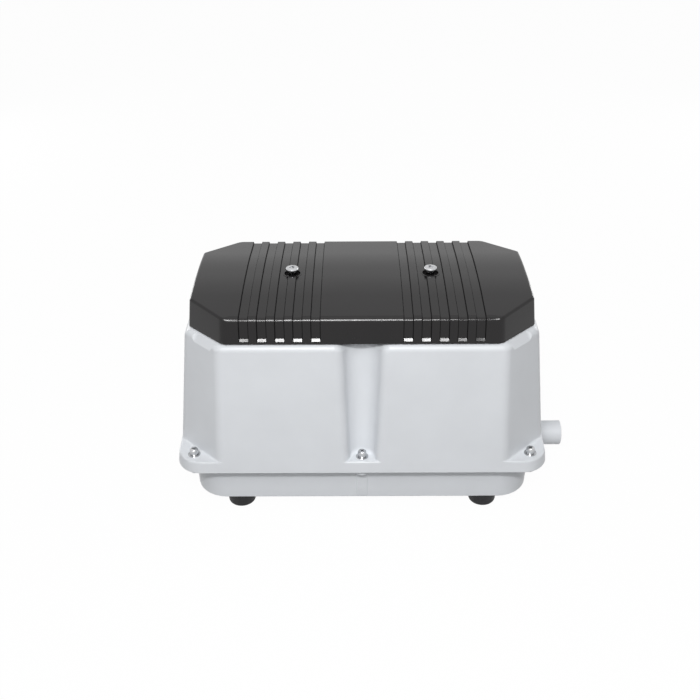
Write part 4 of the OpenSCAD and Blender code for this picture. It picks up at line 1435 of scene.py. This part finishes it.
class PUMP_OT_grommet(Operator):
    """Build the cord grommet"""

    bl_idname = "pump.grommet"
    bl_label = "Cord Grommet"

    def execute(self, context):
        build_grommet(context.scene.pump_finish)
        return {"FINISHED"}


class PUMP_OT_inner_parts(Operator):
    """Give the parts inside the housing their finishes"""

    bl_idname = "pump.inner_parts"
    bl_label = "Inner Parts"

    def execute(self, context):
        finish_inner_parts(context.scene.pump_finish)
        return {"FINISHED"}


class PUMP_OT_stage(Operator):
    """Set up the camera, the floor and the lamps"""

    bl_idname = "pump.stage"
    bl_label = "Camera, Floor and Lamps"

    def execute(self, context):
        place_camera()
        build_stage(context.scene.pump_stage)
        return {"FINISHED"}


SETTINGS = {
    "pump_finish": PUMP_PG_finish,
    "pump_housing": PUMP_PG_housing,
    "pump_cover": PUMP_PG_cover,
    "pump_tank": PUMP_PG_tank,
    "pump_stage": PUMP_PG_stage,
}
OPERATORS = (
    PUMP_OT_stage,
    PUMP_OT_housing,
    PUMP_OT_cover,
    PUMP_OT_tank,
    PUMP_OT_feet,
    PUMP_OT_fasteners,
    PUMP_OT_filter,
    PUMP_OT_grommet,
    PUMP_OT_inner_parts,
)


class PUMP_PT_panel(Panel):
    """The pump's settings and build buttons"""

    bl_idname = "PUMP_PT_panel"
    bl_label = "Air Pump"
    bl_space_type = "VIEW_3D"
    bl_region_type = "UI"
    bl_category = "Air Pump"

    def draw(self, context):
        for name, group in SETTINGS.items():
            box = self.layout.box()
            for key in group.__annotations__:
                box.prop(getattr(context.scene, name), key)
        for operator in OPERATORS:
            self.layout.operator(operator.bl_idname)


CLASSES = (*SETTINGS.values(), *OPERATORS, PUMP_PT_panel)


def register():
    """Adds the settings, operators and panel."""
    for cls in CLASSES:
        bpy.utils.register_class(cls)
    for name, group in SETTINGS.items():
        setattr(bpy.types.Scene, name, PointerProperty(type=group))


def unregister():
    """Takes them away again."""
    for name in SETTINGS:
        delattr(bpy.types.Scene, name)
    for cls in reversed(CLASSES):
        bpy.utils.unregister_class(cls)


def main():
    """Builds the whole pump and its stage."""
    register()
    for operator in OPERATORS:
        group, name = operator.bl_idname.split(".")
        getattr(getattr(bpy.ops, group), name)()
    bpy.context.view_layer.update()


if __name__ == "__main__":
    main()
